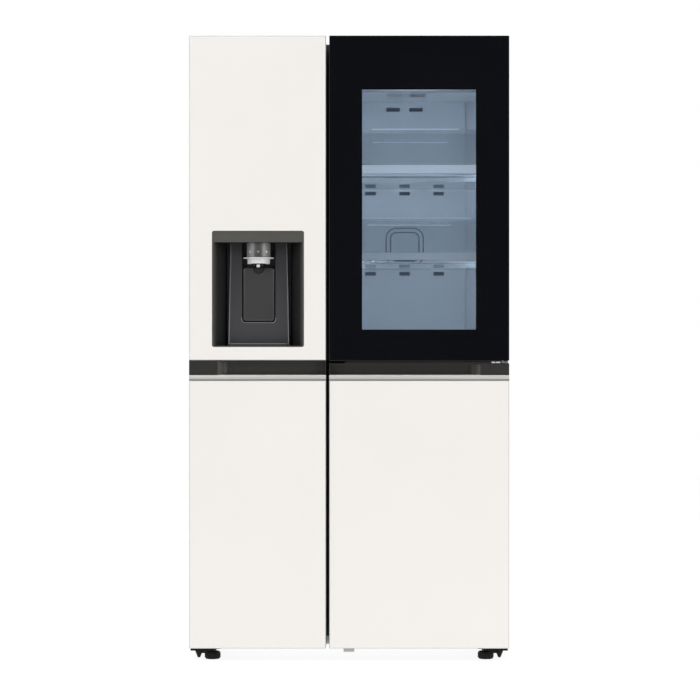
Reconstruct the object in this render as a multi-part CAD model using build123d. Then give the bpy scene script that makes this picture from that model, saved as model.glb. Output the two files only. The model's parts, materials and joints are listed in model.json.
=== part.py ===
"""Side by side refrigerator with a window door and a water and ice dispenser.

Millimetres. X runs to the right as seen from the front, Y runs from the doors to the back, Z runs up.
The origin is on the floor, at the middle of the outer box.
"""
from build123d import *
from math import atan2, degrees
import os

# Overall size
WIDTH = 913.0
DEPTH = 735.0
HEIGHT = 1790.0
SIDE = WIDTH / 2
FRONT = -DEPTH / 2
BACK = DEPTH / 2

# How far a cut runs past the face that it opens
CUT = 1.0

# Doors
DOOR_THICKNESS = 103.0
DOOR_BOTTOM = 38.0
DOOR_TOP_DROP = 4.0
DOOR_CORE_DROP = 18.0
DOOR_TOP = HEIGHT - DOOR_TOP_DROP
DOOR_CORE_TOP = DOOR_TOP - DOOR_CORE_DROP
DOOR_SPLIT_X = -61.5
DOOR_GAP = 9.5
SEAL_GAP = 12.0
DOOR_REAR = FRONT + DOOR_THICKNESS
FREEZER_DOOR_X = (-SIDE, DOOR_SPLIT_X - DOOR_GAP / 2)
FRIDGE_DOOR_X = (DOOR_SPLIT_X + DOOR_GAP / 2, SIDE)
PANEL_SHEET = 2.0
PANEL_RETURN = 24.0
PANEL_EDGE_RADIUS = 4.0
DOOR_LINER_SHEET = 2.5

# Main hinges
HINGE_INSET = 23.0
HINGE_BACK = 70.0
HINGE_X = SIDE - HINGE_INSET
HINGE_Y = FRONT + HINGE_BACK
HINGE_PIN_RADIUS = 6.0
HINGE_PIN_DEPTH = 22.0
HINGE_PLATE = 4.0
HINGE_ARM_RADIUS = 11.0
HINGE_ARM_REACH = (30.0, 5.0)
HINGE_PAD_INSET = (10.5, 84.5)
HINGE_PAD_Y = (8.0, 92.0)
HINGE_ARM_LAP = 12.0
RUNNING_CLEARANCE = 0.05
PIN_END_CLEARANCE = 2.0

# Cabinet
HINGE_COVER_HEIGHT = 12.0
CABINET_TOP = HEIGHT - HINGE_COVER_HEIGHT
CABINET_BOTTOM = 34.0
CABINET_FRONT = DOOR_REAR + SEAL_GAP
SHELL_SHEET = 1.2
SHELL_FLANGE = 14.0
SHELL_EDGE_RADIUS = 5.0
BACK_PANEL_SHEET = 1.2
BACK_BEAD_HEIGHT = 2.0
BACK_BEAD_EDGE = 1.2
BACK_BEAD = (700.0, 22.0)
BACK_BEAD_PITCH = 180.0
BACK_BEADS = 8
SIDE_WALL = 45.0
TOP_WALL = 52.0
BACK_WALL = 55.0
MULLION = 64.0
MULLION_COVER_WIDTH = 20.0
LINER_SHEET = 2.0
LINER_FLANGE = 1.2
LINER_CORNER = 10.0
FREEZER_X = (-SIDE + SIDE_WALL, DOOR_SPLIT_X - MULLION / 2)
FRIDGE_X = (DOOR_SPLIT_X + MULLION / 2, SIDE - SIDE_WALL)
FLOOR_Z = 122.0
CEILING_Z = CABINET_TOP - TOP_WALL
LINER_BACK = BACK - BACK_WALL
STEP_DEPTH = 262.5
STEP_SLOPE = 45.0
STEP_Y = (BACK - STEP_DEPTH, BACK - STEP_DEPTH + STEP_SLOPE)
STEP_Z = 330.0
FOAM_BOTTOM = 58.0

# Machine room at the back, below the compartments
MACHINE_DEPTH = 177.5
MACHINE_FRONT = BACK - MACHINE_DEPTH
MACHINE_TOP = 285.0
MACHINE_SIDE_WALL = 32.0
LOUVRE_SIZE = (230.0, 8.0)
LOUVRE_PITCH = 18.0
LOUVRE_COUNT = 9
LOUVRE_X = 200.0

# Base frame, feet and rollers
BASE_SHEET = 2.0
RAIL_WIDTH = 36.0
RAIL_FRONT_DEPTH = 18.0
LOWER_HINGE_Z = 30.0
LOWER_HINGE_INSET = (3.0, 92.0)
LOWER_HINGE_FRONT = 24.0
LOWER_HINGE_BACK = 150.0
LOWER_HINGE_CORNER = 12.0
CAM_RADIUS = 13.0
CAM_CLEARANCE = 0.3
CONE_RADII = (9.5, 3.0)
CONE_BOTTOM = 11.0
FOOT_INSET = 62.5
FOOT_RADIUS = 23.0
FOOT_HEIGHT = 20.0
FOOT_STEP = 3.0
FOOT_FLUTES = 12
FOOT_FLUTE_DEPTH = 2.0
FOOT_NUT_RADIUS = 11.0
FOOT_NUT_HEIGHT = 8.0
NUT_SIDES = 6
TURNED_SIDES = 12
FOOT_STUD_RADIUS = 5.0
FOOT_STUD_TOP = 36.0
ROLLER_RADIUS = 18.0
ROLLER_WIDTH = 18.0
ROLLER_INSET = 10.2
ROLLER_BACK = 46.0
ROLLER_PIN_RADIUS = 4.0
ROLLER_CHEEK = 3.0
ROLLER_CHEEK_WIDTH = 24.0
ROLLER_CHEEK_CORNER = 6.0
ROLLER_SIDE_CLEARANCE = 0.6
PIN_SIDES = 8

# Handle band across both doors
HANDLE_BOTTOM = 803.0
HANDLE_HEIGHT = 57.0
WINDOW_HANDLE_HEIGHT = 48.0
GRIP_HEIGHT = 16.0
HANDLE_TOP = HANDLE_BOTTOM + HANDLE_HEIGHT
WINDOW_HANDLE_TOP = HANDLE_BOTTOM + WINDOW_HANDLE_HEIGHT
GRIP_TOP = HANDLE_BOTTOM + GRIP_HEIGHT
GRIP_DEPTH = 7.0
GRIP_RADIUS = 6.0
CHANNEL_RECESS = 1.5
CHANNEL_DEPTH = 38.0
CHANNEL_WALL = 2.5
POCKET_OUTER_END = 90.0
POCKET_LIP_RADIUS = 12.0

# Gaskets
GASKET_WIDTH = 19.0
GASKET_NECK = 4.0
GASKET_CLEARANCE = 0.4
GASKET_HINGE_INSET = 26.0
GASKET_FREE_INSET = 5.0
GASKET_END_INSET = (16.0, 26.0)
GASKET_Z = (FOAM_BOTTOM + GASKET_END_INSET[0], CABINET_TOP - GASKET_END_INSET[1])

# Window door, hinged on the front of the refrigerator door
WINDOW_DOOR_LIFT = 8.0
WINDOW_DOOR_BOTTOM = WINDOW_HANDLE_TOP + WINDOW_DOOR_LIFT
WINDOW_DOOR_THICKNESS = 42.0
WINDOW_DOOR_GAP = 8.0
WINDOW_SIDE_BORDER = (93.75, 95.0)
WINDOW_BOTTOM_BORDER = 89.0
WINDOW_TOP_BORDER = 154.0
WINDOW_X = (FRIDGE_DOOR_X[0] + WINDOW_SIDE_BORDER[0], FRIDGE_DOOR_X[1] - WINDOW_SIDE_BORDER[1])
CASE_FRONT = FRONT + WINDOW_DOOR_THICKNESS + WINDOW_DOOR_GAP
WINDOW_Z = (WINDOW_DOOR_BOTTOM + WINDOW_BOTTOM_BORDER, DOOR_TOP - WINDOW_TOP_BORDER)
GLASS_CORNER = 3.0
GLASS_THICKNESS = 4.0
MASK_THICKNESS = 0.6
FRAME_LIP = 6.0
FRAME_WINDOW_MARGIN = 10.0
REAR_PANE_SEAT = 8.0
WINDOW_HINGE_INSET = 18.5
WINDOW_HINGE_BACK = 24.0
WINDOW_PIN_RADIUS = 4.0
WINDOW_PIN_DEPTH = 14.0
WINDOW_HINGE_PLATE = 3.5
WINDOW_HINGE_ARM_RADIUS = 7.5
WINDOW_HINGE_ARM_WIDTH = 31.0
WINDOW_HINGE_PAD = 66.0
WINDOW_HINGE_LIFT = 0.4
WINDOW_HINGE_TIP = 3.75
WINDOW_PAD_CLEARANCE = (3.0, 8.0)
WINDOW_REAR_CHAMFER = 6.0
WINDOW_GASKET_WIDTH = 14.0
WINDOW_GASKET_CLEARANCE = 0.4
WINDOW_GASKET_INSET = 8.0
WINDOW_GASKET_RISE = 6.0
WINDOW_GASKET_PIN_GAP = 2.0
LATCH_INSET = 8.75
LATCH_WIDTH = 30.0
LATCH_X = (FRIDGE_DOOR_X[0] + LATCH_INSET, FRIDGE_DOOR_X[0] + LATCH_INSET + LATCH_WIDTH)
LATCH_BACK = 17.0
LATCH_THICKNESS = 4.0
LATCH_DROP = 5.5
LATCH_PIVOT_RISE = 17.0
LATCH_PIN_RADIUS = 2.5
LATCH_PIN_LENGTH = 3.0
LATCH_HEAD = 3.5
LATCH_EDGE = 1.2
LATCH_SLOT_MARGIN = 1.5
LATCH_SLOT_RISE = 10.0
LATCH_SLOT_Y = (10.0, 30.0)

# Opening through the refrigerator door, behind the window door
CASE_SIDE_WALL = (46.75, 52.5)
CASE_END_WALL = (25.0, 68.0)
CASE_X = (FRIDGE_DOOR_X[0] + CASE_SIDE_WALL[0], FRIDGE_DOOR_X[1] - CASE_SIDE_WALL[1])
CASE_Z = (WINDOW_DOOR_BOTTOM + CASE_END_WALL[0], DOOR_CORE_TOP - CASE_END_WALL[1])
CASE_REACH = 66.0
CASE_CORNER = 8.0
CASE_LEDGE = 7.0
LEDGE_SETBACK = 8.0

# Door bins
BIN_WALL = 2.5
BIN_SIDE_CLEARANCE = 1.0
BIN_CORNER = 12.0
DOOR_RIB = 6.0
DOOR_RIB_EDGE = 2.0
DOOR_RIB_REACH = 62.0
BIN_REACH = 60.0
CASE_BIN_FRONT = 6.0
CASE_BIN_FLOORS = (CASE_Z[0] + CASE_LEDGE, 1152.0, 1408.0)
CASE_BIN_HEIGHTS = (50.0, 116.0, 116.0)
FRIDGE_BIN_FLOORS = (150.0, 500.0)
FREEZER_BIN_FLOORS = (150.0, 420.0, 680.0)
DOOR_BIN_HEIGHT = 120.0
FREEZER_RIB_INSET = (9.5, 38.5)
FRIDGE_RIB_INSET = (23.5, 7.5)
FREEZER_RIB_X = (FREEZER_X[0] + FREEZER_RIB_INSET[0], FREEZER_X[1] - FREEZER_RIB_INSET[1])
FRIDGE_RIB_X = (FRIDGE_X[0] + FRIDGE_RIB_INSET[0], FRIDGE_X[1] - FRIDGE_RIB_INSET[1])
DOOR_RIB_FLOOR_GAP = 12.0
DOOR_RIB_CASE_GAP = 34.0
DOOR_RIB_Z = (FLOOR_Z + DOOR_RIB_FLOOR_GAP, CASE_Z[1])
FRIDGE_RIB_TOP = CASE_Z[0] - DOOR_RIB_CASE_GAP

# Dispenser in the freezer door
DISPENSER_SHIFT = 1.375
DISPENSER_X = sum(FREEZER_DOOR_X) / 2 + DISPENSER_SHIFT
DISPENSER_WIDTH = 262.5
DISPENSER_HEIGHT = 331.5
DISPENSER_RISE = 38.0
DISPENSER_Z = (HANDLE_TOP + DISPENSER_RISE, HANDLE_TOP + DISPENSER_RISE + DISPENSER_HEIGHT)
DISPENSER_CORNER = 6.0
DISPENSER_FIT = 0.4
DISPENSER_WALL = 3.0
DISPENSER_DEPTH = 73.0
DISPENSER_BACK_WIDTH = 184.0
DISPENSER_LIP = 1.0
HEADER_HEIGHT = 29.0
HEADER_RECESS = 1.5
HEADER_DEPTH = 66.0
DISPENSER_FLOOR = DISPENSER_Z[0] + DISPENSER_FIT + DISPENSER_WALL
DISPENSER_ROOF = DISPENSER_Z[1] - DISPENSER_FIT - DISPENSER_WALL
DISPENSER_CEILING = DISPENSER_ROOF - HEADER_HEIGHT
COLUMN_WIDTHS = (177.0, 166.0)
COLUMN_BACK = 52.0
COLUMN_EDGE_RADIUS = 6.0
COLUMN_SLOT_WIDTH = 96.0
COLUMN_SLOT_RISE = 71.0
COLUMN_SLOT_BOTTOM = DISPENSER_Z[0] + COLUMN_SLOT_RISE
COLUMN_SLOT_CORNER = 9.0
PADDLE_WIDTH = 90.0
PADDLE_HEIGHT = 154.0
PADDLE_SLOT_GAP = 3.0
PADDLE_BOTTOM = COLUMN_SLOT_BOTTOM + PADDLE_SLOT_GAP
PADDLE_Z = (PADDLE_BOTTOM, PADDLE_BOTTOM + PADDLE_HEIGHT)
PADDLE_THICKNESS = 6.0
PADDLE_CORNER = 8.0
PADDLE_NOTCH_RADIUS = 17.0
PADDLE_NOTCH_DEPTH = 2.0
PADDLE_PIN_RADIUS = 3.0
PADDLE_PIN_COVER = 2.0
PADDLE_PIN_DROP = 6.0
PADDLE_PIN_LENGTH = 4.0
HEAD_BACK = 46.0
HEAD_RADIUS = 33.0
HEAD_HEIGHT = 41.5
HEAD_CUT = 72.0
SPOUT_FLANGE_RADIUS = 44.5
SPOUT_FLANGE = 5.5
SPOUT_RADIUS = 32.5
SPOUT_BORE = 24.0
SPOUT_HEIGHT = 20.0
SPOUT_TOP = DISPENSER_CEILING - HEAD_HEIGHT
SPOUT_Z = (SPOUT_TOP - SPOUT_HEIGHT, SPOUT_TOP)
NOZZLE_RADIUS = 5.5
NOZZLE_BORE = 3.0
NOZZLE_BORE_DEPTH = 6.0
NOZZLE_DROP = 10.0
TRAY_WIDTH = 172.0
TRAY_Y = (6.0, 50.0)
TRAY_HEIGHT = 6.0
TRAY_CORNER = 6.0
TRAY_SLOTS = 11
TRAY_SLOT = (6.0, 6.0, 2.5)

# Ice maker and bucket on the inside of the freezer door
ICE_MAKER_DROP = 128.0
ICE_MAKER_HEIGHT = 100.0
ICE_MAKER_ROOF = 22.0
ICE_MAKER_EDGE = 18.0
ICE_BUCKET_HEIGHT = 238.0
ICE_GAP = 40.0
ICE_REACH = 84.0
ICE_MAKER_Z = (DOOR_CORE_TOP - ICE_MAKER_DROP - ICE_MAKER_HEIGHT, DOOR_CORE_TOP - ICE_MAKER_DROP)
ICE_BUCKET_Z = (ICE_MAKER_Z[0] - ICE_GAP - ICE_BUCKET_HEIGHT, ICE_MAKER_Z[0] - ICE_GAP)

# Shelves, drawers and ducts
SHELF_SETBACK = 102.5
SHELF_FRONT = CABINET_FRONT + SHELF_SETBACK
SHELF_GLASS = 4.0
SHELF_TRIM_HEIGHT = 18.0
SHELF_TRIM_DEPTH = 14.0
SHELF_TRIM_LIP = 2.0
SHELF_TRIM_EDGE = 4.0
SHELF_SIDE_CLEARANCE = 2.0
SHELF_BACK_CLEARANCE = 8.0
FRIDGE_SHELVES = (545.0, 845.0, 1149.0, 1405.0)
FREEZER_SHELVES = (545.0, 800.0, 1060.0, 1330.0)
LEDGE_WIDTH = 9.0
LEDGE_HEIGHT = 8.0
DRAWER_SETBACK = 26.0
DRAWER_FRONT = SHELF_FRONT + DRAWER_SETBACK
DRAWER_WALL = 2.5
DRAWER_CORNER = 10.0
DRAWER_SIDE_CLEARANCE = 4.0
DRAWER_FLOOR_CLEARANCE = 0.4
DRAWER_LIP = (12.0, 16.0)
DRAWER_LIP_INSET = 60.0
DRAWER_LIP_END = 10.0
LOWER_DRAWER_Z = (FLOOR_Z + DRAWER_FLOOR_CLEARANCE, 310.0)
UPPER_DRAWER_Z = (345.0, 520.0)
DRAWER_STEP_CLEARANCE = 9.0
DRAWER_BACK_CLEARANCE = 6.0
LOWER_DRAWER_BACK = STEP_Y[0] - DRAWER_STEP_CLEARANCE
FRIDGE_DUCT_INSET = (11.5, 39.5)
FRIDGE_DUCT_X = (FRIDGE_X[0] + FRIDGE_DUCT_INSET[0], FRIDGE_X[1] - FRIDGE_DUCT_INSET[1])
FRIDGE_DUCT_TOP_GAP = 22.0
FRIDGE_DUCT_Z = (575.0, CEILING_Z - FRIDGE_DUCT_TOP_GAP)
DUCT_THICKNESS = 15.0
DUCT_EDGE = 3.0
VENT_SIZE = (34.0, 12.0)
VENT_PITCH = 109.0
VENT_DROP = 16.0
VENT_ROWS = [z - VENT_DROP for z in FRIDGE_SHELVES[1:]]
TOP_VENT_SIZE = (44.0, 13.0)
TOP_VENT_PITCH = 73.0
TOP_VENT_DROP = 47.0
TOP_VENT_Z = FRIDGE_DUCT_Z[1] - TOP_VENT_DROP
FILTER_SIZE = 114.0
FILTER_RISE = 86.0
FILTER_Z = VENT_ROWS[1] + FILTER_RISE
FILTER_DEPTH = 5.0
FILTER_CORNER = 30.0
FILTER_FACE = (86.0, 3.0)
LIGHT_SIZE = (202.0, 150.0)
LIGHT_SETBACK = 60.0
LIGHT_DROP = 8.0
LIGHT_CORNER = 12.0
FREEZER_DUCT_DEPTH = 76.5
FREEZER_DUCT_FRONT = LINER_BACK - FREEZER_DUCT_DEPTH
FREEZER_DUCT_SHEET = 5.0
FREEZER_DUCT_CLEARANCE = 1.0
FREEZER_DUCT_RIB = 4.0
FREEZER_DUCT_RIB_END = 12.0
FREEZER_DUCT_TOP_GAP = 20.0
FREEZER_DUCT_Z = (STEP_Z, CEILING_Z - FREEZER_DUCT_TOP_GAP)
FREEZER_VENT_ROWS = (600.0, 860.0, 1130.0, 1400.0)
FREEZER_VENT = (70.0, 12.0)
FREEZER_VENT_SHIFT = 60.0
EVAPORATOR_Z = (400.0, 760.0)
EVAPORATOR_DEPTH = 52.0
EVAPORATOR_SIDE_GAP = 24.0
EVAPORATOR_FINS = 11
EVAPORATOR_ROWS = 5
EVAPORATOR_FAN_Z = 930.0
EVAPORATOR_FAN_RADIUS = 55.0
CONDENSER_FAN_RADIUS = 65.0
FAN_HUB_SHARE = 0.34
FAN_DEPTH = 22.0
FAN_BLADES = 7
FAN_HUB_SIDES = 14
FAN_BLADE_SHEET = 2.0
FAN_PITCH = 32.0
FAN_CHORD_SHARE = 1.3
FAN_SHAFT_RADIUS = 3.0
FAN_SHAFT_LENGTH = 16.0
FAN_MOTOR_GAP = 0.6
FAN_MOTOR_RADIUS = 22.0
FAN_MOTOR_LENGTH = 30.0
FAN_MOTOR_SIDES = 16
FAN_MOTOR_BORE = 20.0
FAN_BRACKET = 18.0
FAN_STRAP = (140.0, 6.0, 24.0)
FAN_FLOOR_GAP = 18.0
FAN_DUCT_GAP = 6.0
COMPRESSOR_INSET = 226.5
COMPRESSOR_X = SIDE - COMPRESSOR_INSET
COMPRESSOR_RADIUS = 72.0
COMPRESSOR_HEIGHT = 165.0
COMPRESSOR_FOOT = 14.0
COMPRESSOR_DOME = 26.0
COMPRESSOR_PLATE = (176.0, 96.0)
COMPRESSOR_SIDES = 24
COMPRESSOR_MOUNT_RADIUS = 10.0
CONDENSER_INSET = 126.5
CONDENSER_LENGTH = 210.0
CONDENSER_X = (-SIDE + CONDENSER_INSET, -SIDE + CONDENSER_INSET + CONDENSER_LENGTH)
CONDENSER_MARGIN = (26.0, 36.0)
CONDENSER_TOP_GAP = 60.0
CONDENSER_SKID_SETBACK = 20.0
CONDENSER_FINS = 11
CONDENSER_ROWS = 4
CONDENSER_FAN_GAP = 80.0
CONDENSER_FAN_X = CONDENSER_X[1] + CONDENSER_FAN_GAP
FIN_SHEET = 1.5
TUBE_RADIUS = 4.0
TUBE_END = 6.0
COIL_SPINE = 12.0
HINGE_COVER_SHEET = 2.0
HINGE_COVER_FIT = 0.5
BLOCK_INSET = 40.75
BLOCK_WIDTH = 31.0
BLOCK_X = (FRIDGE_DOOR_X[0] + BLOCK_INSET, FRIDGE_DOOR_X[0] + BLOCK_INSET + BLOCK_WIDTH)
BLOCK_Y = (12.0, 40.0)
BLOCK_DROP = 11.0
BLOCK_EDGE = 1.5


def block(x, y, z):
    """Box between two corners, each axis given as a low and a high value."""
    size = [high - low for low, high in (x, y, z)]
    middle = [(low + high) / 2 for low, high in (x, y, z)]
    return Pos(*middle) * Box(*size)


def upright(x, z, y, corner=0.0):
    """Plate that faces the front, with rounded corners in its outline."""
    width = x[1] - x[0]
    height = z[1] - z[0]
    outline = RectangleRounded(width, height, corner) if corner else Rectangle(width, height)
    plane = Plane(origin=(sum(x) / 2, y[1], sum(z) / 2), x_dir=(1, 0, 0), z_dir=(0, -1, 0))
    return extrude(plane * outline, amount=y[1] - y[0])


def ring(x, z, y, width, corner=0.0):
    """Upright frame of one width all round, with rounded or mitred corners."""
    inner_corner = max(corner - width, 0.0)
    inside = upright(grown(x, -width), grown(z, -width), y, inner_corner)
    return upright(x, z, y, corner) - inside


def post(x, y, z, radius):
    """Upright round bar from the low to the high value of z."""
    return Pos(x, y, (z[0] + z[1]) / 2) * Cylinder(radius, z[1] - z[0])


def cross_bar(x, y, z, radius):
    """Round bar along X from the low to the high value of x."""
    return Pos((x[0] + x[1]) / 2, y, z) * Rot(0, 90, 0) * Cylinder(radius, x[1] - x[0])


def grown(span, amount):
    """A span made longer by the amount at both ends, or shorter for a negative amount."""
    return (span[0] - amount, span[1] + amount)


def other_side(shape):
    """The mirror image across the middle plane."""
    return mirror(shape, about=Plane.YZ)


def tub(x, y, z, wall, corner, end):
    """Open tub with two cut upright corners, at its front (end 0) or at its back (end -1)."""
    outside = block(x, y, z)
    outside = chamfer(outside.edges().filter_by(Axis.Z).group_by(Axis.Y)[end], corner)
    inside = block(grown(x, -wall), grown(y, -wall), (z[0] + wall, z[1] + CUT))
    return outside - chamfer(inside.edges().filter_by(Axis.Z).group_by(Axis.Y)[end], corner - wall)


def prism(x, section, y, z):
    """Bar along X with a regular section, from the low to the high value of x."""
    return extrude(Plane.YZ.offset(x[0]) * Pos(y, z) * section, amount=x[1] - x[0])


def turned(x, y, z, radius):
    """Upright bar with many flat sides, for a round boss that nothing runs on."""
    section = RegularPolygon(radius, TURNED_SIDES)
    return extrude(Plane.XY.offset(z[0]) * Pos(x, y) * section, amount=z[1] - z[0])


# Cabinet

def liner_profile(inset, front):
    """Side view of a compartment: a box with a sloped step over the machine room."""
    floor = FLOOR_Z - inset
    step = STEP_Z - inset
    back = LINER_BACK + inset
    top = CEILING_Z + inset
    points = [
        (front, floor),
        (STEP_Y[0] + inset / 2, floor),
        (STEP_Y[1] + inset / 2, step),
        (back, step),
        (back, top),
        (front, top),
    ]
    return make_face(Polyline(points, close=True))


def compartment(x, inset, front, corner=0.0):
    """Solid that fills a compartment out to the given inset beyond its inner faces."""
    wide = grown(x, inset)
    face = Plane.YZ.offset(wide[0]) * liner_profile(inset, front)
    solid = extrude(face, amount=wide[1] - wide[0])
    if not corner:
        return solid
    back_edges = solid.edges().filter_by(Axis.Z).sort_by(Axis.Y)[-2:]
    return chamfer(back_edges, corner)


def cabinet_shell():
    """Folded steel wrap: two sides, the top and a narrow flange round the front."""
    back = BACK - BACK_BEAD_HEIGHT - BACK_PANEL_SHEET
    outer = block((-SIDE, SIDE), (CABINET_FRONT, back), (CABINET_BOTTOM, CABINET_TOP))
    outer = fillet(outer.edges().filter_by(Axis.Y).group_by(Axis.Z)[-1], SHELL_EDGE_RADIUS)
    inner = block(
        (-SIDE + SHELL_SHEET, SIDE - SHELL_SHEET),
        (CABINET_FRONT + SHELL_SHEET, back + CUT),
        (CABINET_BOTTOM - CUT, CABINET_TOP - SHELL_SHEET),
    )
    inner = fillet(
        inner.edges().filter_by(Axis.Y).group_by(Axis.Z)[-1], SHELL_EDGE_RADIUS - SHELL_SHEET)
    mouth = block(
        (-SIDE + SHELL_FLANGE, SIDE - SHELL_FLANGE),
        (CABINET_FRONT - CUT, CABINET_FRONT + SHELL_SHEET + CUT),
        (CABINET_BOTTOM - CUT, CABINET_TOP - SHELL_FLANGE),
    )
    return outer - inner - mouth


def cabinet_back_panel():
    """Rear sheet with raised beads that stiffen it."""
    inner = BACK - BACK_BEAD_HEIGHT - BACK_PANEL_SHEET
    outer = BACK - BACK_BEAD_HEIGHT
    panel = block((-SIDE, SIDE), (inner, outer), (MACHINE_TOP, CABINET_TOP))
    middle = (MACHINE_TOP + CABINET_TOP) / 2
    span_x = (-BACK_BEAD[0] / 2, BACK_BEAD[0] / 2)
    for index in range(BACK_BEADS):
        z = middle + (index - (BACK_BEADS - 1) / 2) * BACK_BEAD_PITCH
        bead = block(span_x, (outer, BACK), (z - BACK_BEAD[1] / 2, z + BACK_BEAD[1] / 2))
        panel += chamfer(bead.faces().sort_by(Axis.Y)[-1].edges(), BACK_BEAD_EDGE)
    return panel


def cabinet_insulation():
    """Foam between the steel wrap and the two liners, cut away for the machine room."""
    back = BACK - BACK_BEAD_HEIGHT - BACK_PANEL_SHEET
    front = CABINET_FRONT + SHELL_SHEET
    edge = SIDE - SHELL_SHEET
    foam = block((-edge, edge), (front, back), (FOAM_BOTTOM, CABINET_TOP - SHELL_SHEET))
    foam = chamfer(foam.edges().filter_by(Axis.Y).group_by(Axis.Z)[-1], SHELL_EDGE_RADIUS)
    for x in (FREEZER_X, FRIDGE_X):
        foam -= compartment(x, LINER_SHEET, front - CUT)
    room_edge = edge - MACHINE_SIDE_WALL
    foam -= block(
        (-room_edge, room_edge), (MACHINE_FRONT, back + CUT), (FOAM_BOTTOM - CUT, MACHINE_TOP))
    return foam


def wall_ledges(x, tops):
    """Moulded ledges on both side walls of a liner, one pair with its top at each height."""
    ledges = []
    y = (SHELF_FRONT + SHELF_TRIM_DEPTH, FREEZER_DUCT_FRONT - SHELF_BACK_CLEARANCE)
    for top in tops:
        for low, high in ((x[0], x[0] + LEDGE_WIDTH), (x[1] - LEDGE_WIDTH, x[1])):
            ledges.append(block((low, high), y, (top - LEDGE_HEIGHT, top)))
    return ledges


def liner(x, flange_x, shelves):
    """Moulded inner tub of one compartment, with its front flange and its ledges."""
    outer = compartment(x, LINER_SHEET, CABINET_FRONT, LINER_CORNER + LINER_SHEET)
    outer += upright(
        flange_x, (FOAM_BOTTOM, CABINET_TOP - SHELL_FLANGE),
        (CABINET_FRONT, CABINET_FRONT + LINER_FLANGE))
    tub_walls = outer - compartment(x, 0.0, CABINET_FRONT - CUT, LINER_CORNER)
    tops = [z - SHELF_GLASS for z in shelves] + [UPPER_DRAWER_Z[0] - DRAWER_FLOOR_CLEARANCE]
    for ledge in wall_ledges(x, tops):
        tub_walls += ledge
    return tub_walls


def base_frame():
    """Steel floor pan with side rails, a front rail, and cheeks with an axle pin for each roller."""
    edge = SIDE - SHELL_SHEET
    back = BACK - BACK_BEAD_HEIGHT - BACK_PANEL_SHEET
    front = CABINET_FRONT + SHELL_SHEET
    plate = block((-edge, edge), (front, back), (FOAM_BOTTOM - BASE_SHEET, FOAM_BOTTOM))
    rail_z = (CABINET_BOTTOM, FOAM_BOTTOM - BASE_SHEET)
    frame = plate + block((-edge, edge), (front, front + RAIL_FRONT_DEPTH), rail_z)
    roller_y = BACK - ROLLER_BACK
    cheek_y = (roller_y - ROLLER_CHEEK_WIDTH / 2, roller_y + ROLLER_CHEEK_WIDTH / 2)
    for sign in (-1, 1):
        rail = block((edge - RAIL_WIDTH, edge), (front, back), rail_z)
        groove = block(
            (edge - RAIL_WIDTH + BASE_SHEET, edge - BASE_SHEET),
            (front + RAIL_FRONT_DEPTH, back + CUT), (rail_z[0] - CUT, rail_z[1]))
        rail -= groove
        roller_x = SIDE - ROLLER_INSET - ROLLER_WIDTH / 2
        reach = ROLLER_WIDTH / 2 + ROLLER_SIDE_CLEARANCE
        for low in (roller_x - reach - ROLLER_CHEEK, roller_x + reach):
            cheek = block(
                (low, low + ROLLER_CHEEK), cheek_y,
                (ROLLER_RADIUS - ROLLER_CHEEK_WIDTH / 2, FOAM_BOTTOM - BASE_SHEET))
            rail += chamfer(cheek.edges().filter_by(Axis.X).group_by(Axis.Z)[0], ROLLER_CHEEK_CORNER)
        rail += prism(
            (roller_x - reach - ROLLER_CHEEK, roller_x + reach + ROLLER_CHEEK),
            RegularPolygon(ROLLER_PIN_RADIUS, PIN_SIDES), roller_y, ROLLER_RADIUS)
        frame += rail if sign > 0 else other_side(rail)
    return frame


def rear_rollers():
    """Two transport rollers on one line, bored for the axle pins of the base."""
    x = SIDE - ROLLER_INSET - ROLLER_WIDTH / 2
    span_x = (x - ROLLER_WIDTH / 2, x + ROLLER_WIDTH / 2)
    y = BACK - ROLLER_BACK
    wheel = cross_bar(span_x, y, ROLLER_RADIUS, ROLLER_RADIUS)
    wheel -= cross_bar(grown(span_x, CUT), y, ROLLER_RADIUS, ROLLER_PIN_RADIUS + RUNNING_CLEARANCE)
    return Compound([other_side(wheel), wheel])


def upper_hinge_outline(z, clearance):
    """Pad, arm and round nose of an upper hinge, grown sideways by a clearance."""
    pad_x = (SIDE - HINGE_PAD_INSET[1], SIDE - HINGE_PAD_INSET[0])
    pad_y = (CABINET_FRONT + HINGE_PAD_Y[0], CABINET_FRONT + HINGE_PAD_Y[1])
    arm_x = (HINGE_X - HINGE_ARM_REACH[0], HINGE_X + HINGE_ARM_REACH[1])
    outline = block(grown(pad_x, clearance), grown(pad_y, clearance), z)
    outline += block(grown(arm_x, clearance), (HINGE_Y, CABINET_FRONT + HINGE_ARM_LAP), z)
    return outline + turned(HINGE_X, HINGE_Y, z, HINGE_ARM_RADIUS + clearance)


def upper_hinges():
    """Hinge plates on top of the cabinet, each with an arm over the door and a pin down into it."""
    plate = upper_hinge_outline((CABINET_TOP, CABINET_TOP + HINGE_PLATE), 0.0)
    plate += post(HINGE_X, HINGE_Y, (DOOR_CORE_TOP - HINGE_PIN_DEPTH, CABINET_TOP), HINGE_PIN_RADIUS)
    return [other_side(plate), plate]


def hinge_covers():
    """Moulded caps that follow the outline of the upper hinges."""
    cap = upper_hinge_outline((CABINET_TOP, HEIGHT), HINGE_COVER_FIT + HINGE_COVER_SHEET)
    cap -= upper_hinge_outline((CABINET_TOP - CUT, HEIGHT - HINGE_COVER_SHEET), HINGE_COVER_FIT)
    return Compound([other_side(cap), cap])


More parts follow.
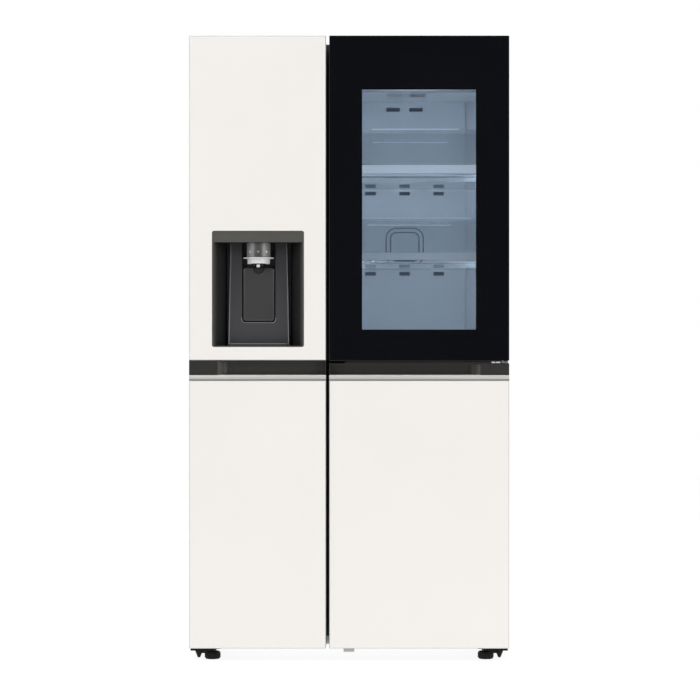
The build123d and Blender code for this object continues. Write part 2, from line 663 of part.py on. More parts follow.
def lower_hinges():
    """Brackets under the doors: hinge pin, closing cam, pin cone and the nut of the foot."""
    x = (SIDE - LOWER_HINGE_INSET[1], SIDE - LOWER_HINGE_INSET[0])
    y = (HINGE_Y - LOWER_HINGE_FRONT, HINGE_Y + LOWER_HINGE_BACK)
    z = (LOWER_HINGE_Z, LOWER_HINGE_Z + HINGE_PLATE)
    plate = block(x, y, z)
    plate = chamfer(plate.edges().filter_by(Axis.Z).group_by(Axis.Y)[0], LOWER_HINGE_CORNER)
    plate += turned(HINGE_X, HINGE_Y, (z[1], DOOR_BOTTOM - CAM_CLEARANCE), CAM_RADIUS)
    plate += post(HINGE_X, HINGE_Y, (z[1], DOOR_BOTTOM + HINGE_PIN_DEPTH), HINGE_PIN_RADIUS)
    cone_height = z[0] - CONE_BOTTOM
    taper = degrees(atan2(CONE_RADII[0] - CONE_RADII[1], cone_height))
    cone = extrude(RegularPolygon(CONE_RADII[0], TURNED_SIDES), amount=-cone_height, taper=taper)
    plate += Pos(HINGE_X, HINGE_Y, z[0]) * cone
    foot_x = SIDE - FOOT_INSET
    nut = extrude(RegularPolygon(FOOT_NUT_RADIUS, NUT_SIDES), amount=FOOT_NUT_HEIGHT)
    plate += Pos(foot_x, HINGE_Y, z[0] - FOOT_NUT_HEIGHT) * nut
    bore_z = grown((z[0] - FOOT_NUT_HEIGHT, z[1]), CUT)
    plate -= post(foot_x, HINGE_Y, bore_z, FOOT_STUD_RADIUS + RUNNING_CLEARANCE)
    return [other_side(plate), plate]


def leveling_foot(sign):
    """Screw foot: a fluted dial that is turned by hand, a pad under it and a stud."""
    outline = []
    for index in range(2 * FOOT_FLUTES):
        radius = FOOT_RADIUS - FOOT_FLUTE_DEPTH * (index % 2)
        outline.append(Vector(radius, 0, 0).rotate(Axis.Z, index * 180 / FOOT_FLUTES))
    dial = extrude(make_face(Polyline(outline, close=True)), amount=FOOT_HEIGHT - 2 * FOOT_STEP)
    pad = extrude(RegularPolygon(FOOT_RADIUS - FOOT_FLUTE_DEPTH, FOOT_FLUTES), amount=FOOT_HEIGHT)
    foot = Pos(0, 0, FOOT_STEP) * dial + pad
    foot += post(0, 0, (FOOT_HEIGHT - CUT, FOOT_STUD_TOP), FOOT_STUD_RADIUS)
    return Pos(sign * (SIDE - FOOT_INSET), HINGE_Y, 0) * foot


def machine_room_cover():
    """Rear cover of the machine room with two fields of louvre slots."""
    inner = BACK - BACK_BEAD_HEIGHT - BACK_PANEL_SHEET
    edge = SIDE - SHELL_SHEET
    cover = block((-edge, edge), (inner, BACK - BACK_BEAD_HEIGHT), (FOAM_BOTTOM, MACHINE_TOP))
    middle = (FOAM_BOTTOM + MACHINE_TOP) / 2
    for x in (-LOUVRE_X, LOUVRE_X):
        span_x = (x - LOUVRE_SIZE[0] / 2, x + LOUVRE_SIZE[0] / 2)
        for index in range(LOUVRE_COUNT):
            low = middle + (index - LOUVRE_COUNT / 2) * LOUVRE_PITCH
            cover -= block(span_x, (inner - CUT, BACK), (low, low + LOUVRE_SIZE[1]))
    return cover


def finned_coil(x, y, z, fins, rows):
    """Heat exchanger: a fin pack on a flat spine, with tube ends that stand out at both sides."""
    pitch = (x[1] - x[0] - FIN_SHEET) / (fins - 1)
    middle = sum(y) / 2
    coil = block(x, (middle - COIL_SPINE / 2, middle + COIL_SPINE / 2), z)
    for index in range(fins):
        low = x[0] + index * pitch
        coil += block((low, low + FIN_SHEET), y, z)
    for row in range(rows):
        tube_z = z[0] + (row + 0.5) * (z[1] - z[0]) / rows
        coil += prism(grown(x, TUBE_END), RegularPolygon(TUBE_RADIUS, PIN_SIDES), middle, tube_z)
    return coil


def fan_rotor(radius):
    """Axial fan rotor about its own Z, with pitched blades, a hub and a shaft stub."""
    hub_radius = radius * FAN_HUB_SHARE
    sunk = FAN_BLADE_SHEET
    length = radius - hub_radius + sunk
    sheet = Box(length, FAN_DEPTH * FAN_CHORD_SHARE, FAN_BLADE_SHEET)
    blade = Pos(hub_radius - sunk + length / 2, 0, 0) * Rot(FAN_PITCH, 0, 0) * sheet
    hub = extrude(RegularPolygon(hub_radius, FAN_HUB_SIDES), amount=FAN_DEPTH)
    rotor = Pos(0, 0, -FAN_DEPTH / 2) * hub
    for index in range(FAN_BLADES):
        rotor += Rot(0, 0, index * 360 / FAN_BLADES) * blade
    shaft = Plane.XY.offset(-FAN_DEPTH / 2) * RegularPolygon(FAN_SHAFT_RADIUS, PIN_SIDES)
    return rotor + extrude(shaft, amount=-FAN_SHAFT_LENGTH)


def fan_motor():
    """Fan motor about its own Z, with a blind bore for the rotor's shaft in its upper end."""
    section = RegularPolygon(FAN_MOTOR_RADIUS, FAN_MOTOR_SIDES)
    can = Pos(0, 0, -FAN_MOTOR_LENGTH) * extrude(section, amount=FAN_MOTOR_LENGTH)
    can -= post(0, 0, (-FAN_MOTOR_BORE, CUT), FAN_SHAFT_RADIUS + RUNNING_CLEARANCE)
    return Pos(0, 0, -FAN_DEPTH / 2 - FAN_MOTOR_GAP) * can


def compressor():
    """Hermetic compressor: a domed can on a foot plate with four mounts."""
    y = (MACHINE_FRONT + BACK) / 2
    floor = FOAM_BOTTOM + COMPRESSOR_FOOT
    can = extrude(RegularPolygon(COMPRESSOR_RADIUS, COMPRESSOR_SIDES), amount=COMPRESSOR_HEIGHT)
    can = chamfer(can.faces().sort_by(Axis.Z)[-1].edges(), COMPRESSOR_DOME)
    body = Pos(COMPRESSOR_X, y, floor) * can
    half_x, half_y = COMPRESSOR_PLATE[0] / 2, COMPRESSOR_PLATE[1] / 2
    span_x = (COMPRESSOR_X - half_x, COMPRESSOR_X + half_x)
    span_y = (y - half_y, y + half_y)
    body += block(span_x, span_y, (floor - HINGE_PLATE, floor))
    mount = extrude(RegularPolygon(COMPRESSOR_MOUNT_RADIUS, PIN_SIDES), amount=COMPRESSOR_FOOT)
    for foot_x in (span_x[0] + COMPRESSOR_FOOT, span_x[1] - COMPRESSOR_FOOT):
        for foot_y in (span_y[0] + COMPRESSOR_FOOT, span_y[1] - COMPRESSOR_FOOT):
            body += Pos(foot_x, foot_y, FOAM_BOTTOM) * mount
    return body


def condenser():
    """Finned coil of the machine room, on a skid along its length."""
    y = (MACHINE_FRONT + CONDENSER_MARGIN[0], BACK - CONDENSER_MARGIN[1])
    z = (FOAM_BOTTOM + TUBE_RADIUS, MACHINE_TOP - CONDENSER_TOP_GAP)
    coil = finned_coil(CONDENSER_X, y, z, CONDENSER_FINS, CONDENSER_ROWS)
    return coil + block(CONDENSER_X, grown(y, -CONDENSER_SKID_SETBACK), (FOAM_BOTTOM, z[0]))


def condenser_fan_center():
    """Middle of the condenser's fan."""
    z = FOAM_BOTTOM + CONDENSER_FAN_RADIUS + FAN_FLOOR_GAP
    return CONDENSER_FAN_X, (MACHINE_FRONT + BACK) / 2, z


def evaporator_fan_center():
    """Middle of the evaporator's fan."""
    y = FREEZER_DUCT_FRONT + FREEZER_DUCT_SHEET + FAN_DUCT_GAP + FAN_DEPTH
    return sum(FREEZER_X) / 2, y, EVAPORATOR_FAN_Z


def along_x(center):
    """Place of a fan that blows along X."""
    return Pos(*center) * Rot(0, 90, 0)


def along_y(center):
    """Place of a fan that blows towards the front."""
    return Pos(*center) * Rot(90, 0, 0)


def condenser_fan():
    """Rotor that draws air through the condenser."""
    return along_x(condenser_fan_center()) * fan_rotor(CONDENSER_FAN_RADIUS)


def evaporator_fan():
    """Rotor that blows cold air into the freezer."""
    return along_y(evaporator_fan_center()) * fan_rotor(EVAPORATOR_FAN_RADIUS)


def fan_motors():
    """Motor of each fan: one on a post from the base, one on a strap across the liner's back."""
    x, y, z = condenser_fan_center()
    motor_end = x - FAN_DEPTH / 2 - FAN_MOTOR_GAP - FAN_MOTOR_LENGTH
    half = FAN_BRACKET / 2
    lower = along_x((x, y, z)) * fan_motor()
    lower += block((motor_end, motor_end + FAN_BRACKET), (y - half, y + half), (FOAM_BOTTOM, z - half))
    x, y, z = evaporator_fan_center()
    length, sheet, height = FAN_STRAP
    strap_z = (z - height / 2, z + height / 2)
    strap = block((x - length / 2, x + length / 2), (LINER_BACK - sheet, LINER_BACK), strap_z)
    return Compound([lower, along_y((x, y, z)) * fan_motor() + strap])


def evaporator():
    """Finned coil on the back of the freezer, behind its air duct."""
    x = grown(FREEZER_X, -EVAPORATOR_SIDE_GAP)
    y = (LINER_BACK - EVAPORATOR_DEPTH, LINER_BACK)
    return finned_coil(x, y, EVAPORATOR_Z, EVAPORATOR_FINS, EVAPORATOR_ROWS)


def vent_row(x_values, z, size, y):
    """Slots through a duct cover, side by side at one height."""
    width, height = size
    span_z = (z - height / 2, z + height / 2)
    return [block((x - width / 2, x + width / 2), y, span_z) for x in x_values]


def freezer_air_duct():
    """Panel in front of the evaporator, with rows of vents and a rib along each side."""
    x = grown(FREEZER_X, -FREEZER_DUCT_CLEARANCE)
    y = (FREEZER_DUCT_FRONT, FREEZER_DUCT_FRONT + FREEZER_DUCT_SHEET)
    panel = upright(x, FREEZER_DUCT_Z, y)
    middle = sum(FREEZER_X) / 2
    vent_x = (middle - FREEZER_VENT_SHIFT, middle + FREEZER_VENT_SHIFT)
    for z in FREEZER_VENT_ROWS:
        for vent in vent_row(vent_x, z, FREEZER_VENT, grown(y, CUT)):
            panel -= vent
    rib_y = (FREEZER_DUCT_FRONT, LINER_BACK - LINER_CORNER)
    rib_z = grown(FREEZER_DUCT_Z, -FREEZER_DUCT_RIB_END)
    for low in (x[0], x[1] - FREEZER_DUCT_RIB):
        panel += block((low, low + FREEZER_DUCT_RIB), rib_y, rib_z)
    return panel


def fridge_air_duct():
    """Air duct cover on the back wall, with rows of vents."""
    y = (LINER_BACK - DUCT_THICKNESS, LINER_BACK)
    cover = upright(FRIDGE_DUCT_X, FRIDGE_DUCT_Z, y)
    cover = chamfer(cover.faces().sort_by(Axis.Y)[0].edges(), DUCT_EDGE)
    middle = sum(FRIDGE_DUCT_X) / 2
    vent_y = (y[0] - CUT, y[1] - DUCT_EDGE)
    top_x = (middle - TOP_VENT_PITCH / 2, middle + TOP_VENT_PITCH / 2)
    row_x = (middle - VENT_PITCH, middle, middle + VENT_PITCH)
    vents = vent_row(top_x, TOP_VENT_Z, TOP_VENT_SIZE, vent_y)
    for z in VENT_ROWS:
        vents += vent_row(row_x, z, VENT_SIZE, vent_y)
    for vent in vents:
        cover -= vent
    return cover


def air_filter_cover():
    """Rounded square cover of the air filter, with a raised face."""
    middle = sum(FRIDGE_DUCT_X) / 2
    back = LINER_BACK - DUCT_THICKNESS
    size, height = FILTER_FACE
    border = (FILTER_SIZE - size) / 2
    x = (middle - FILTER_SIZE / 2, middle + FILTER_SIZE / 2)
    z = (FILTER_Z - FILTER_SIZE / 2, FILTER_Z + FILTER_SIZE / 2)
    front = back - FILTER_DEPTH
    cover = upright(x, z, (front, back), FILTER_CORNER)
    return cover + upright(
        grown(x, -border), grown(z, -border), (front - height, front), FILTER_CORNER - border)


def fridge_light():
    """Lamp lens under the ceiling of the refrigerator compartment."""
    middle = sum(FRIDGE_X) / 2
    front = SHELF_FRONT + LIGHT_SETBACK
    width, depth = LIGHT_SIZE
    z = (CEILING_Z - LIGHT_DROP, CEILING_Z)
    lens = block((middle - width / 2, middle + width / 2), (front, front + depth), z)
    lens = chamfer(lens.edges().filter_by(Axis.Z), LIGHT_CORNER)
    return chamfer(lens.faces().sort_by(Axis.Z)[0].edges(), LIGHT_DROP / 2)


def shelf_glass(x, back, heights):
    """One glass sheet for each shelf."""
    span_x = grown(x, -SHELF_SIDE_CLEARANCE)
    y = (SHELF_FRONT + SHELF_TRIM_DEPTH, back - SHELF_BACK_CLEARANCE)
    return [block(span_x, y, (z - SHELF_GLASS, z)) for z in heights]


def shelf_trim(x, heights):
    """Front bar of each shelf."""
    bars = []
    span_x = grown(x, -SHELF_SIDE_CLEARANCE)
    y = (SHELF_FRONT, SHELF_FRONT + SHELF_TRIM_DEPTH)
    for z in heights:
        top = z + SHELF_TRIM_LIP
        bar = block(span_x, y, (top - SHELF_TRIM_HEIGHT, top))
        bars.append(chamfer(bar.edges().filter_by(Axis.X).group_by(Axis.Y)[0], SHELF_TRIM_EDGE))
    return bars


def drawer(x, z, back):
    """Open drawer with a grip lip along the top of its front."""
    span_x = grown(x, -DRAWER_SIDE_CLEARANCE)
    box = tub(span_x, (DRAWER_FRONT, back), z, DRAWER_WALL, DRAWER_CORNER, 0)
    lip_depth, lip_height = DRAWER_LIP
    lip_x = grown(span_x, -DRAWER_LIP_INSET)
    lip = block(
        lip_x, (DRAWER_FRONT - lip_depth, DRAWER_FRONT + DRAWER_WALL / 2), (z[1] - lip_height, z[1]))
    lip = chamfer(lip.edges().filter_by(Axis.Z).group_by(Axis.Y)[0], DRAWER_LIP_END - DRAWER_WALL)
    finger = block(
        grown(lip_x, -DRAWER_LIP_END), (DRAWER_FRONT - lip_depth + DRAWER_WALL, DRAWER_FRONT),
        (z[1] - lip_height - CUT, z[1] - DRAWER_WALL))
    return box + (lip - finger)


# Doors

def door_panel(x, z):
    """Coloured front sheet of a door, folded back all round."""
    pan = block(x, (FRONT, FRONT + PANEL_RETURN), z)
    pan = fillet(pan.faces().sort_by(Axis.Y)[0].edges(), PANEL_EDGE_RADIUS)
    inside = block(
        grown(x, -PANEL_SHEET), (FRONT + PANEL_SHEET, FRONT + PANEL_RETURN + CUT), grown(z, -PANEL_SHEET))
    return pan - inside


def panel_backing(x, z):
    """Part of a door core that fills a front sheet."""
    return block(
        grown(x, -PANEL_SHEET), (FRONT + PANEL_SHEET, FRONT + PANEL_RETURN), grown(z, -PANEL_SHEET))


def hinge_bores(sign):
    """Upper and lower hinge bores of a door."""
    radius = HINGE_PIN_RADIUS + RUNNING_CLEARANCE
    depth = HINGE_PIN_DEPTH + PIN_END_CLEARANCE
    x = sign * HINGE_X
    upper = post(x, HINGE_Y, (DOOR_CORE_TOP - depth, DOOR_CORE_TOP + CUT), radius)
    return [upper, post(x, HINGE_Y, (DOOR_BOTTOM - CUT, DOOR_BOTTOM + depth), radius)]


def handle_pocket(free, outer, inward, z):
    """Finger space of a handle band, which runs out to the front near the hinge in an S curve."""
    floor = FRONT + CHANNEL_DEPTH - CHANNEL_WALL
    mouth = FRONT + CHANNEL_RECESS
    wall = outer + inward * POCKET_OUTER_END
    lip = (wall - inward * POCKET_LIP_RADIUS, mouth)
    turn = (wall, mouth + POCKET_LIP_RADIUS)
    foot = (wall + inward * (floor - turn[1]), floor)
    plan = [
        TangentArc(lip, turn, tangent=(inward, 0)),
        TangentArc(turn, foot, tangent=(0, 1)),
        Polyline(foot, (free, floor), (free, FRONT - CUT), (lip[0], FRONT - CUT), lip),
    ]
    return extrude(Plane.XY.offset(z[0]) * make_face(plan), amount=z[1] - z[0])


def handle_channel(x, top, outer_sign):
    """Dark moulding of the handle band, with the finger pocket and a seat for the grip bar."""
    moulding = block(x, (FRONT + CHANNEL_RECESS, FRONT + CHANNEL_DEPTH), (HANDLE_BOTTOM, top))
    moulding -= block(x, (FRONT, FRONT + GRIP_DEPTH), (HANDLE_BOTTOM, GRIP_TOP))
    free, outer = (x[1], x[0]) if outer_sign < 0 else (x[0], x[1])
    pocket_z = grown((HANDLE_BOTTOM, top), -CHANNEL_WALL)
    return moulding - handle_pocket(free + outer_sign * CHANNEL_WALL, outer, -outer_sign, pocket_z)


def handle_grip(x):
    """Bright bar along the lower edge of the handle band, well rounded at the top of its front."""
    bar = block(x, (FRONT, FRONT + GRIP_DEPTH), (HANDLE_BOTTOM, GRIP_TOP))
    top_edges = bar.edges().filter_by(Axis.X).group_by(Axis.Z)[-1]
    return fillet(top_edges.sort_by(Axis.Y)[0], GRIP_RADIUS)


def door_gasket(x):
    """Soft magnetic seal: a narrow neck on the door and a wide face towards the cabinet."""
    neck_end = DOOR_REAR + GASKET_NECK
    inset = GASKET_NECK
    neck = ring(
        grown(x, -inset), grown(GASKET_Z, -inset), (DOOR_REAR, neck_end), GASKET_WIDTH - 2 * inset)
    face = ring(x, GASKET_Z, (neck_end, CABINET_FRONT - GASKET_CLEARANCE), GASKET_WIDTH)
    return neck + face


def door_bins(rib_x, floors, heights, front, reach):
    """Open bins held between the ribs or walls at the two ends of rib_x."""
    span_x = grown(rib_x, -BIN_SIDE_CLEARANCE)
    return [
        tub(span_x, (front, DOOR_REAR + reach), (low, low + high), BIN_WALL, BIN_CORNER, -1)
        for low, high in zip(floors, heights)
    ]


def door_ribs(rib_x, z, floors):
    """Two upright ribs on the back of a door, with a ledge pair under each bin."""
    y = (DOOR_REAR - DOOR_LINER_SHEET, DOOR_REAR + DOOR_RIB_REACH)
    pieces = []
    for low, high, inner in (
        (rib_x[0] - DOOR_RIB, rib_x[0], rib_x[0] + CASE_LEDGE),
        (rib_x[1], rib_x[1] + DOOR_RIB, rib_x[1] - CASE_LEDGE),
    ):
        rib = block((low, high), y, z)
        pieces.append(chamfer(rib.edges().group_by(Axis.Y)[-1], DOOR_RIB_EDGE))
        ledge_x = sorted((inner, low if inner < low else high))
        for floor in floors:
            pieces.append(block(ledge_x, (y[0], y[1] - LEDGE_SETBACK), (floor - CASE_LEDGE, floor)))
    return pieces


def dispenser_outline(fit):
    """X and Z spans of the dispenser, made smaller all round by a fit."""
    half = DISPENSER_WIDTH / 2 - fit
    return (DISPENSER_X - half, DISPENSER_X + half), grown(DISPENSER_Z, -fit)


def freezer_door_core():
    """Foamed body of the freezer door, cut for the handle band, dispenser and hinge pins."""
    x = FREEZER_DOOR_X
    rear = (FRONT + PANEL_RETURN, DOOR_REAR - DOOR_LINER_SHEET)
    core = block(x, rear, (DOOR_BOTTOM, DOOR_CORE_TOP))
    core += panel_backing(x, (HANDLE_TOP, DOOR_TOP))
    core += panel_backing(x, (DOOR_BOTTOM, HANDLE_BOTTOM))
    core -= block(x, (FRONT, FRONT + CHANNEL_DEPTH), (HANDLE_BOTTOM, HANDLE_TOP))
    hole_x, hole_z = dispenser_outline(DISPENSER_FIT)
    depth = DISPENSER_DEPTH + DISPENSER_WALL
    core -= upright(hole_x, hole_z, (FRONT, FRONT + depth), DISPENSER_CORNER)
    for bore in hinge_bores(-1):
        core -= bore
    return core


def freezer_door_liner():
    """Inner skin of the freezer door with the ribs that hold the bins."""
    liner_plate = block(
        FREEZER_DOOR_X, (DOOR_REAR - DOOR_LINER_SHEET, DOOR_REAR), (DOOR_BOTTOM, DOOR_CORE_TOP))
    floors = FREEZER_BIN_FLOORS + (ICE_BUCKET_Z[0],)
    for piece in door_ribs(FREEZER_RIB_X, DOOR_RIB_Z, floors):
        liner_plate += piece
    return liner_plate


def freezer_upper_panel():
    """Upper front sheet of the freezer door, cut out for the dispenser."""
    x, z = dispenser_outline(0.0)
    panel = door_panel(FREEZER_DOOR_X, (HANDLE_TOP, DOOR_TOP))
    return panel - upright(x, z, (FRONT - CUT, FRONT + PANEL_SHEET + CUT), DISPENSER_CORNER)


def dispenser_cavity():
    """Space of the dispenser niche: its side walls close in towards the back."""
    front = DISPENSER_WIDTH / 2 - DISPENSER_FIT - DISPENSER_WALL
    back = DISPENSER_BACK_WIDTH / 2
    plan = Polyline(
        (DISPENSER_X - front, FRONT),
        (DISPENSER_X + front, FRONT),
        (DISPENSER_X + back, FRONT + DISPENSER_DEPTH),
        (DISPENSER_X - back, FRONT + DISPENSER_DEPTH),
        close=True)
    base = Plane.XY.offset(DISPENSER_FLOOR)
    return extrude(base * make_face(plan), amount=DISPENSER_ROOF - DISPENSER_FLOOR)


def dispenser_housing():
    """Dark niche moulded in one piece."""
    x, z = dispenser_outline(DISPENSER_FIT)
    y = (FRONT + DISPENSER_LIP, FRONT + DISPENSER_DEPTH + DISPENSER_WALL)
    return upright(x, z, y, DISPENSER_CORNER) - dispenser_cavity()


def dispenser_header():
    """Block across the top of the niche that carries the round head."""
    y = (FRONT + HEADER_RECESS, FRONT + HEADER_DEPTH)
    z = (DISPENSER_CEILING, DISPENSER_ROOF)
    half = DISPENSER_WIDTH / 2
    return block((DISPENSER_X - half, DISPENSER_X + half), y, z) & dispenser_cavity()


def dispenser_column():
    """Raised back panel of the niche, wider at its foot, slotted for the paddle and the head."""
    foot, crown = [width / 2 for width in COLUMN_WIDTHS]
    y = (FRONT + COLUMN_BACK, FRONT + DISPENSER_DEPTH)
    z = (DISPENSER_FLOOR, DISPENSER_CEILING)
    outline = Polyline(
        (DISPENSER_X - foot, z[0]), (DISPENSER_X + foot, z[0]),
        (DISPENSER_X + crown, z[1]), (DISPENSER_X - crown, z[1]), close=True)
    column = extrude(Plane.XZ.offset(-y[1]) * make_face(outline), amount=y[1] - y[0])
    sides = column.faces().sort_by(Axis.Y)[0].edges().sort_by(Axis.X)
    column = fillet([sides[0], sides[-1]], COLUMN_EDGE_RADIUS)
    slot_half = COLUMN_SLOT_WIDTH / 2
    slot_x = (DISPENSER_X - slot_half, DISPENSER_X + slot_half)
    slot_z = (COLUMN_SLOT_BOTTOM, z[1] + 2 * COLUMN_SLOT_CORNER)
    column -= upright(slot_x, slot_z, grown(y, CUT), COLUMN_SLOT_CORNER)
    bore_x = grown(slot_x, PADDLE_PIN_LENGTH + PIN_END_CLEARANCE)
    return column - cross_bar(bore_x, *paddle_axis(), PADDLE_PIN_RADIUS + RUNNING_CLEARANCE)


def paddle_axis():
    """Y and Z of the paddle's pivot."""
    return FRONT + COLUMN_BACK + PADDLE_PIN_RADIUS + PADDLE_PIN_COVER, PADDLE_Z[1] - PADDLE_PIN_DROP


def dispenser_paddle():
    """Lever that a cup pushes back: a plate with a shallow half round dish, on two pivot pins."""
    half = PADDLE_WIDTH / 2
    y = (FRONT + COLUMN_BACK, FRONT + COLUMN_BACK + PADDLE_THICKNESS)
    plate = upright((DISPENSER_X - half, DISPENSER_X + half), PADDLE_Z, y, PADDLE_CORNER)
    dish = Cylinder(PADDLE_NOTCH_RADIUS, 2 * PADDLE_NOTCH_DEPTH)
    plate -= Pos(DISPENSER_X, y[0], PADDLE_Z[1]) * Rot(90, 0, 0) * dish
    reach = COLUMN_SLOT_WIDTH / 2 + PADDLE_PIN_LENGTH
    pin = RegularPolygon(PADDLE_PIN_RADIUS, PIN_SIDES)
    for span in ((-reach, PADDLE_CORNER - half), (half - PADDLE_CORNER, reach)):
        plate += prism((DISPENSER_X + span[0], DISPENSER_X + span[1]), pin, *paddle_axis())
    return plate


def head_limit(z):
    """Space in front of the niche's back wall, which flattens the round head parts behind."""
    half = DISPENSER_WIDTH / 2
    return block((DISPENSER_X - half, DISPENSER_X + half), (FRONT, FRONT + HEAD_CUT), z)


def dispenser_head():
    """Header of the niche and the round housing under it that shows the choice of water or ice."""
    z = (SPOUT_Z[1], DISPENSER_CEILING)
    head = post(DISPENSER_X, FRONT + HEAD_BACK, z, HEAD_RADIUS) & head_limit(z)
    head -= post(DISPENSER_X, FRONT + HEAD_BACK, grown(z, CUT), SPOUT_BORE)
    return Compound([dispenser_header(), head])


def dispenser_spout():
    """Bright outlet ring with a flange, and the water nozzle below its front."""
    y = FRONT + HEAD_BACK
    flange_z = (SPOUT_Z[1] - SPOUT_FLANGE, SPOUT_Z[1])
    flange = post(DISPENSER_X, y, flange_z, SPOUT_FLANGE_RADIUS)
    outlet = flange + post(DISPENSER_X, y, SPOUT_Z, SPOUT_RADIUS)
    outlet &= head_limit(SPOUT_Z)
    outlet -= post(DISPENSER_X, y, grown(SPOUT_Z, CUT), SPOUT_BORE)
    nozzle_y = y - (SPOUT_BORE + SPOUT_RADIUS) / 2
    nozzle_z = (SPOUT_Z[0] - NOZZLE_DROP, SPOUT_Z[0])
    nozzle = post(DISPENSER_X, nozzle_y, nozzle_z, NOZZLE_RADIUS)
    bore_z = (nozzle_z[0] - CUT, nozzle_z[0] + NOZZLE_BORE_DEPTH)
    return Compound([outlet, nozzle - turned(DISPENSER_X, nozzle_y, bore_z, NOZZLE_BORE)])


def drip_tray():
    """Slotted tray on the floor of the niche."""
    half = TRAY_WIDTH / 2
    floor = DISPENSER_FLOOR
    y = (FRONT + TRAY_Y[0], FRONT + TRAY_Y[1])
    tray = block((DISPENSER_X - half, DISPENSER_X + half), y, (floor, floor + TRAY_HEIGHT))
    tray = chamfer(tray.edges().filter_by(Axis.Z), TRAY_CORNER)
    pitch = TRAY_WIDTH / (TRAY_SLOTS + 1)
    for index in range(TRAY_SLOTS):
        x = DISPENSER_X - half + (index + 1) * pitch
        tray -= block(
            (x - TRAY_SLOT[0] / 2, x + TRAY_SLOT[0] / 2), grown(y, -TRAY_SLOT[1]),
            (floor + TRAY_HEIGHT - TRAY_SLOT[2], floor + TRAY_HEIGHT + CUT))
    return tray


def ice_maker():
    """Covered ice tray on the inside of the freezer door."""
    x = grown(FREEZER_RIB_X, -BIN_SIDE_CLEARANCE)
    cover = block(x, (DOOR_REAR, DOOR_REAR + ICE_REACH), ICE_MAKER_Z)
    cover = fillet(cover.edges().filter_by(Axis.X).group_by(Axis.Y)[-1], ICE_MAKER_EDGE)
    inside = block(
        grown(x, -BIN_WALL), (DOOR_REAR + BIN_WALL, DOOR_REAR + ICE_REACH - BIN_WALL),
        (ICE_MAKER_Z[0] - CUT, ICE_MAKER_Z[1] - ICE_MAKER_ROOF))
    return cover - inside


def ice_bucket():
    """Ice bin under the ice maker, with a chute through its floor to the dispenser."""
    x = grown(FREEZER_RIB_X, -BIN_SIDE_CLEARANCE)
    bucket = tub(x, (DOOR_REAR, DOOR_REAR + ICE_REACH), ICE_BUCKET_Z, BIN_WALL, BIN_CORNER, -1)
    chute_z = grown((ICE_BUCKET_Z[0], ICE_BUCKET_Z[0] + BIN_WALL), CUT)
    return bucket - post(DISPENSER_X, DOOR_REAR + ICE_REACH / 2, chute_z, SPOUT_BORE)


def fridge_door_core():
    """Foamed body of the refrigerator door: full depth below, a deep frame behind the window door above."""
    x = FRIDGE_DOOR_X
    rear = DOOR_REAR - DOOR_LINER_SHEET
    core = block(x, (FRONT + PANEL_RETURN, rear), (DOOR_BOTTOM, WINDOW_HANDLE_TOP))
    core += panel_backing(x, (DOOR_BOTTOM, HANDLE_BOTTOM))
    core += block(x, (CASE_FRONT, rear), (WINDOW_HANDLE_TOP, DOOR_CORE_TOP))
    core -= block(x, (FRONT, FRONT + CHANNEL_DEPTH), (HANDLE_BOTTOM, WINDOW_HANDLE_TOP))
    core -= upright(
        grown(CASE_X, DOOR_LINER_SHEET), grown(CASE_Z, DOOR_LINER_SHEET),
        grown((CASE_FRONT, rear), CUT))
    for bore in hinge_bores(1):
        core -= bore
    return core


def fridge_door_liner():
    """Inner skin of the refrigerator door: a collar through the case opening, ribs and bin ledges."""
    rear = (DOOR_REAR - DOOR_LINER_SHEET, DOOR_REAR)
    skin = block(FRIDGE_DOOR_X, rear, (DOOR_BOTTOM, DOOR_CORE_TOP))
    collar_y = (CASE_FRONT, DOOR_REAR + CASE_REACH)
    skin += upright(grown(CASE_X, DOOR_LINER_SHEET), grown(CASE_Z, DOOR_LINER_SHEET), collar_y)
    skin -= upright(CASE_X, CASE_Z, grown(collar_y, CUT), CASE_CORNER)
    ledge_y = (CASE_FRONT + CASE_BIN_FRONT, DOOR_REAR + CASE_REACH - LEDGE_SETBACK)
    for floor in CASE_BIN_FLOORS:
        for low, high in (
            (CASE_X[0] - CUT, CASE_X[0] + CASE_LEDGE), (CASE_X[1] - CASE_LEDGE, CASE_X[1] + CUT)):
            skin += block((low, high), ledge_y, (floor - CASE_LEDGE, floor))
    for piece in door_ribs(FRIDGE_RIB_X, (DOOR_RIB_Z[0], FRIDGE_RIB_TOP), FRIDGE_BIN_FLOORS):
        skin += piece
    return skin


def fridge_door_bins():
    """Two bins on the lower door and three in the case behind the window door."""
    lower = door_bins(
        FRIDGE_RIB_X, FRIDGE_BIN_FLOORS, [DOOR_BIN_HEIGHT] * len(FRIDGE_BIN_FLOORS), DOOR_REAR, BIN_REACH)
    case = door_bins(
        CASE_X, CASE_BIN_FLOORS, CASE_BIN_HEIGHTS, CASE_FRONT + CASE_BIN_FRONT, BIN_REACH)
    return Compound(lower + case)


def door_bottom_block():
    """Small grey block that hangs under the free end of the refrigerator door."""
    y = (FRONT + BLOCK_Y[0], FRONT + BLOCK_Y[1])
    tab = block(BLOCK_X, y, (DOOR_BOTTOM - BLOCK_DROP, DOOR_BOTTOM))
    return chamfer(tab.edges().group_by(Axis.Z)[0], BLOCK_EDGE)


# Window door

def window_axis():
    """X and Y of the window door's hinge."""
    return SIDE - WINDOW_HINGE_INSET, FRONT + WINDOW_HINGE_BACK


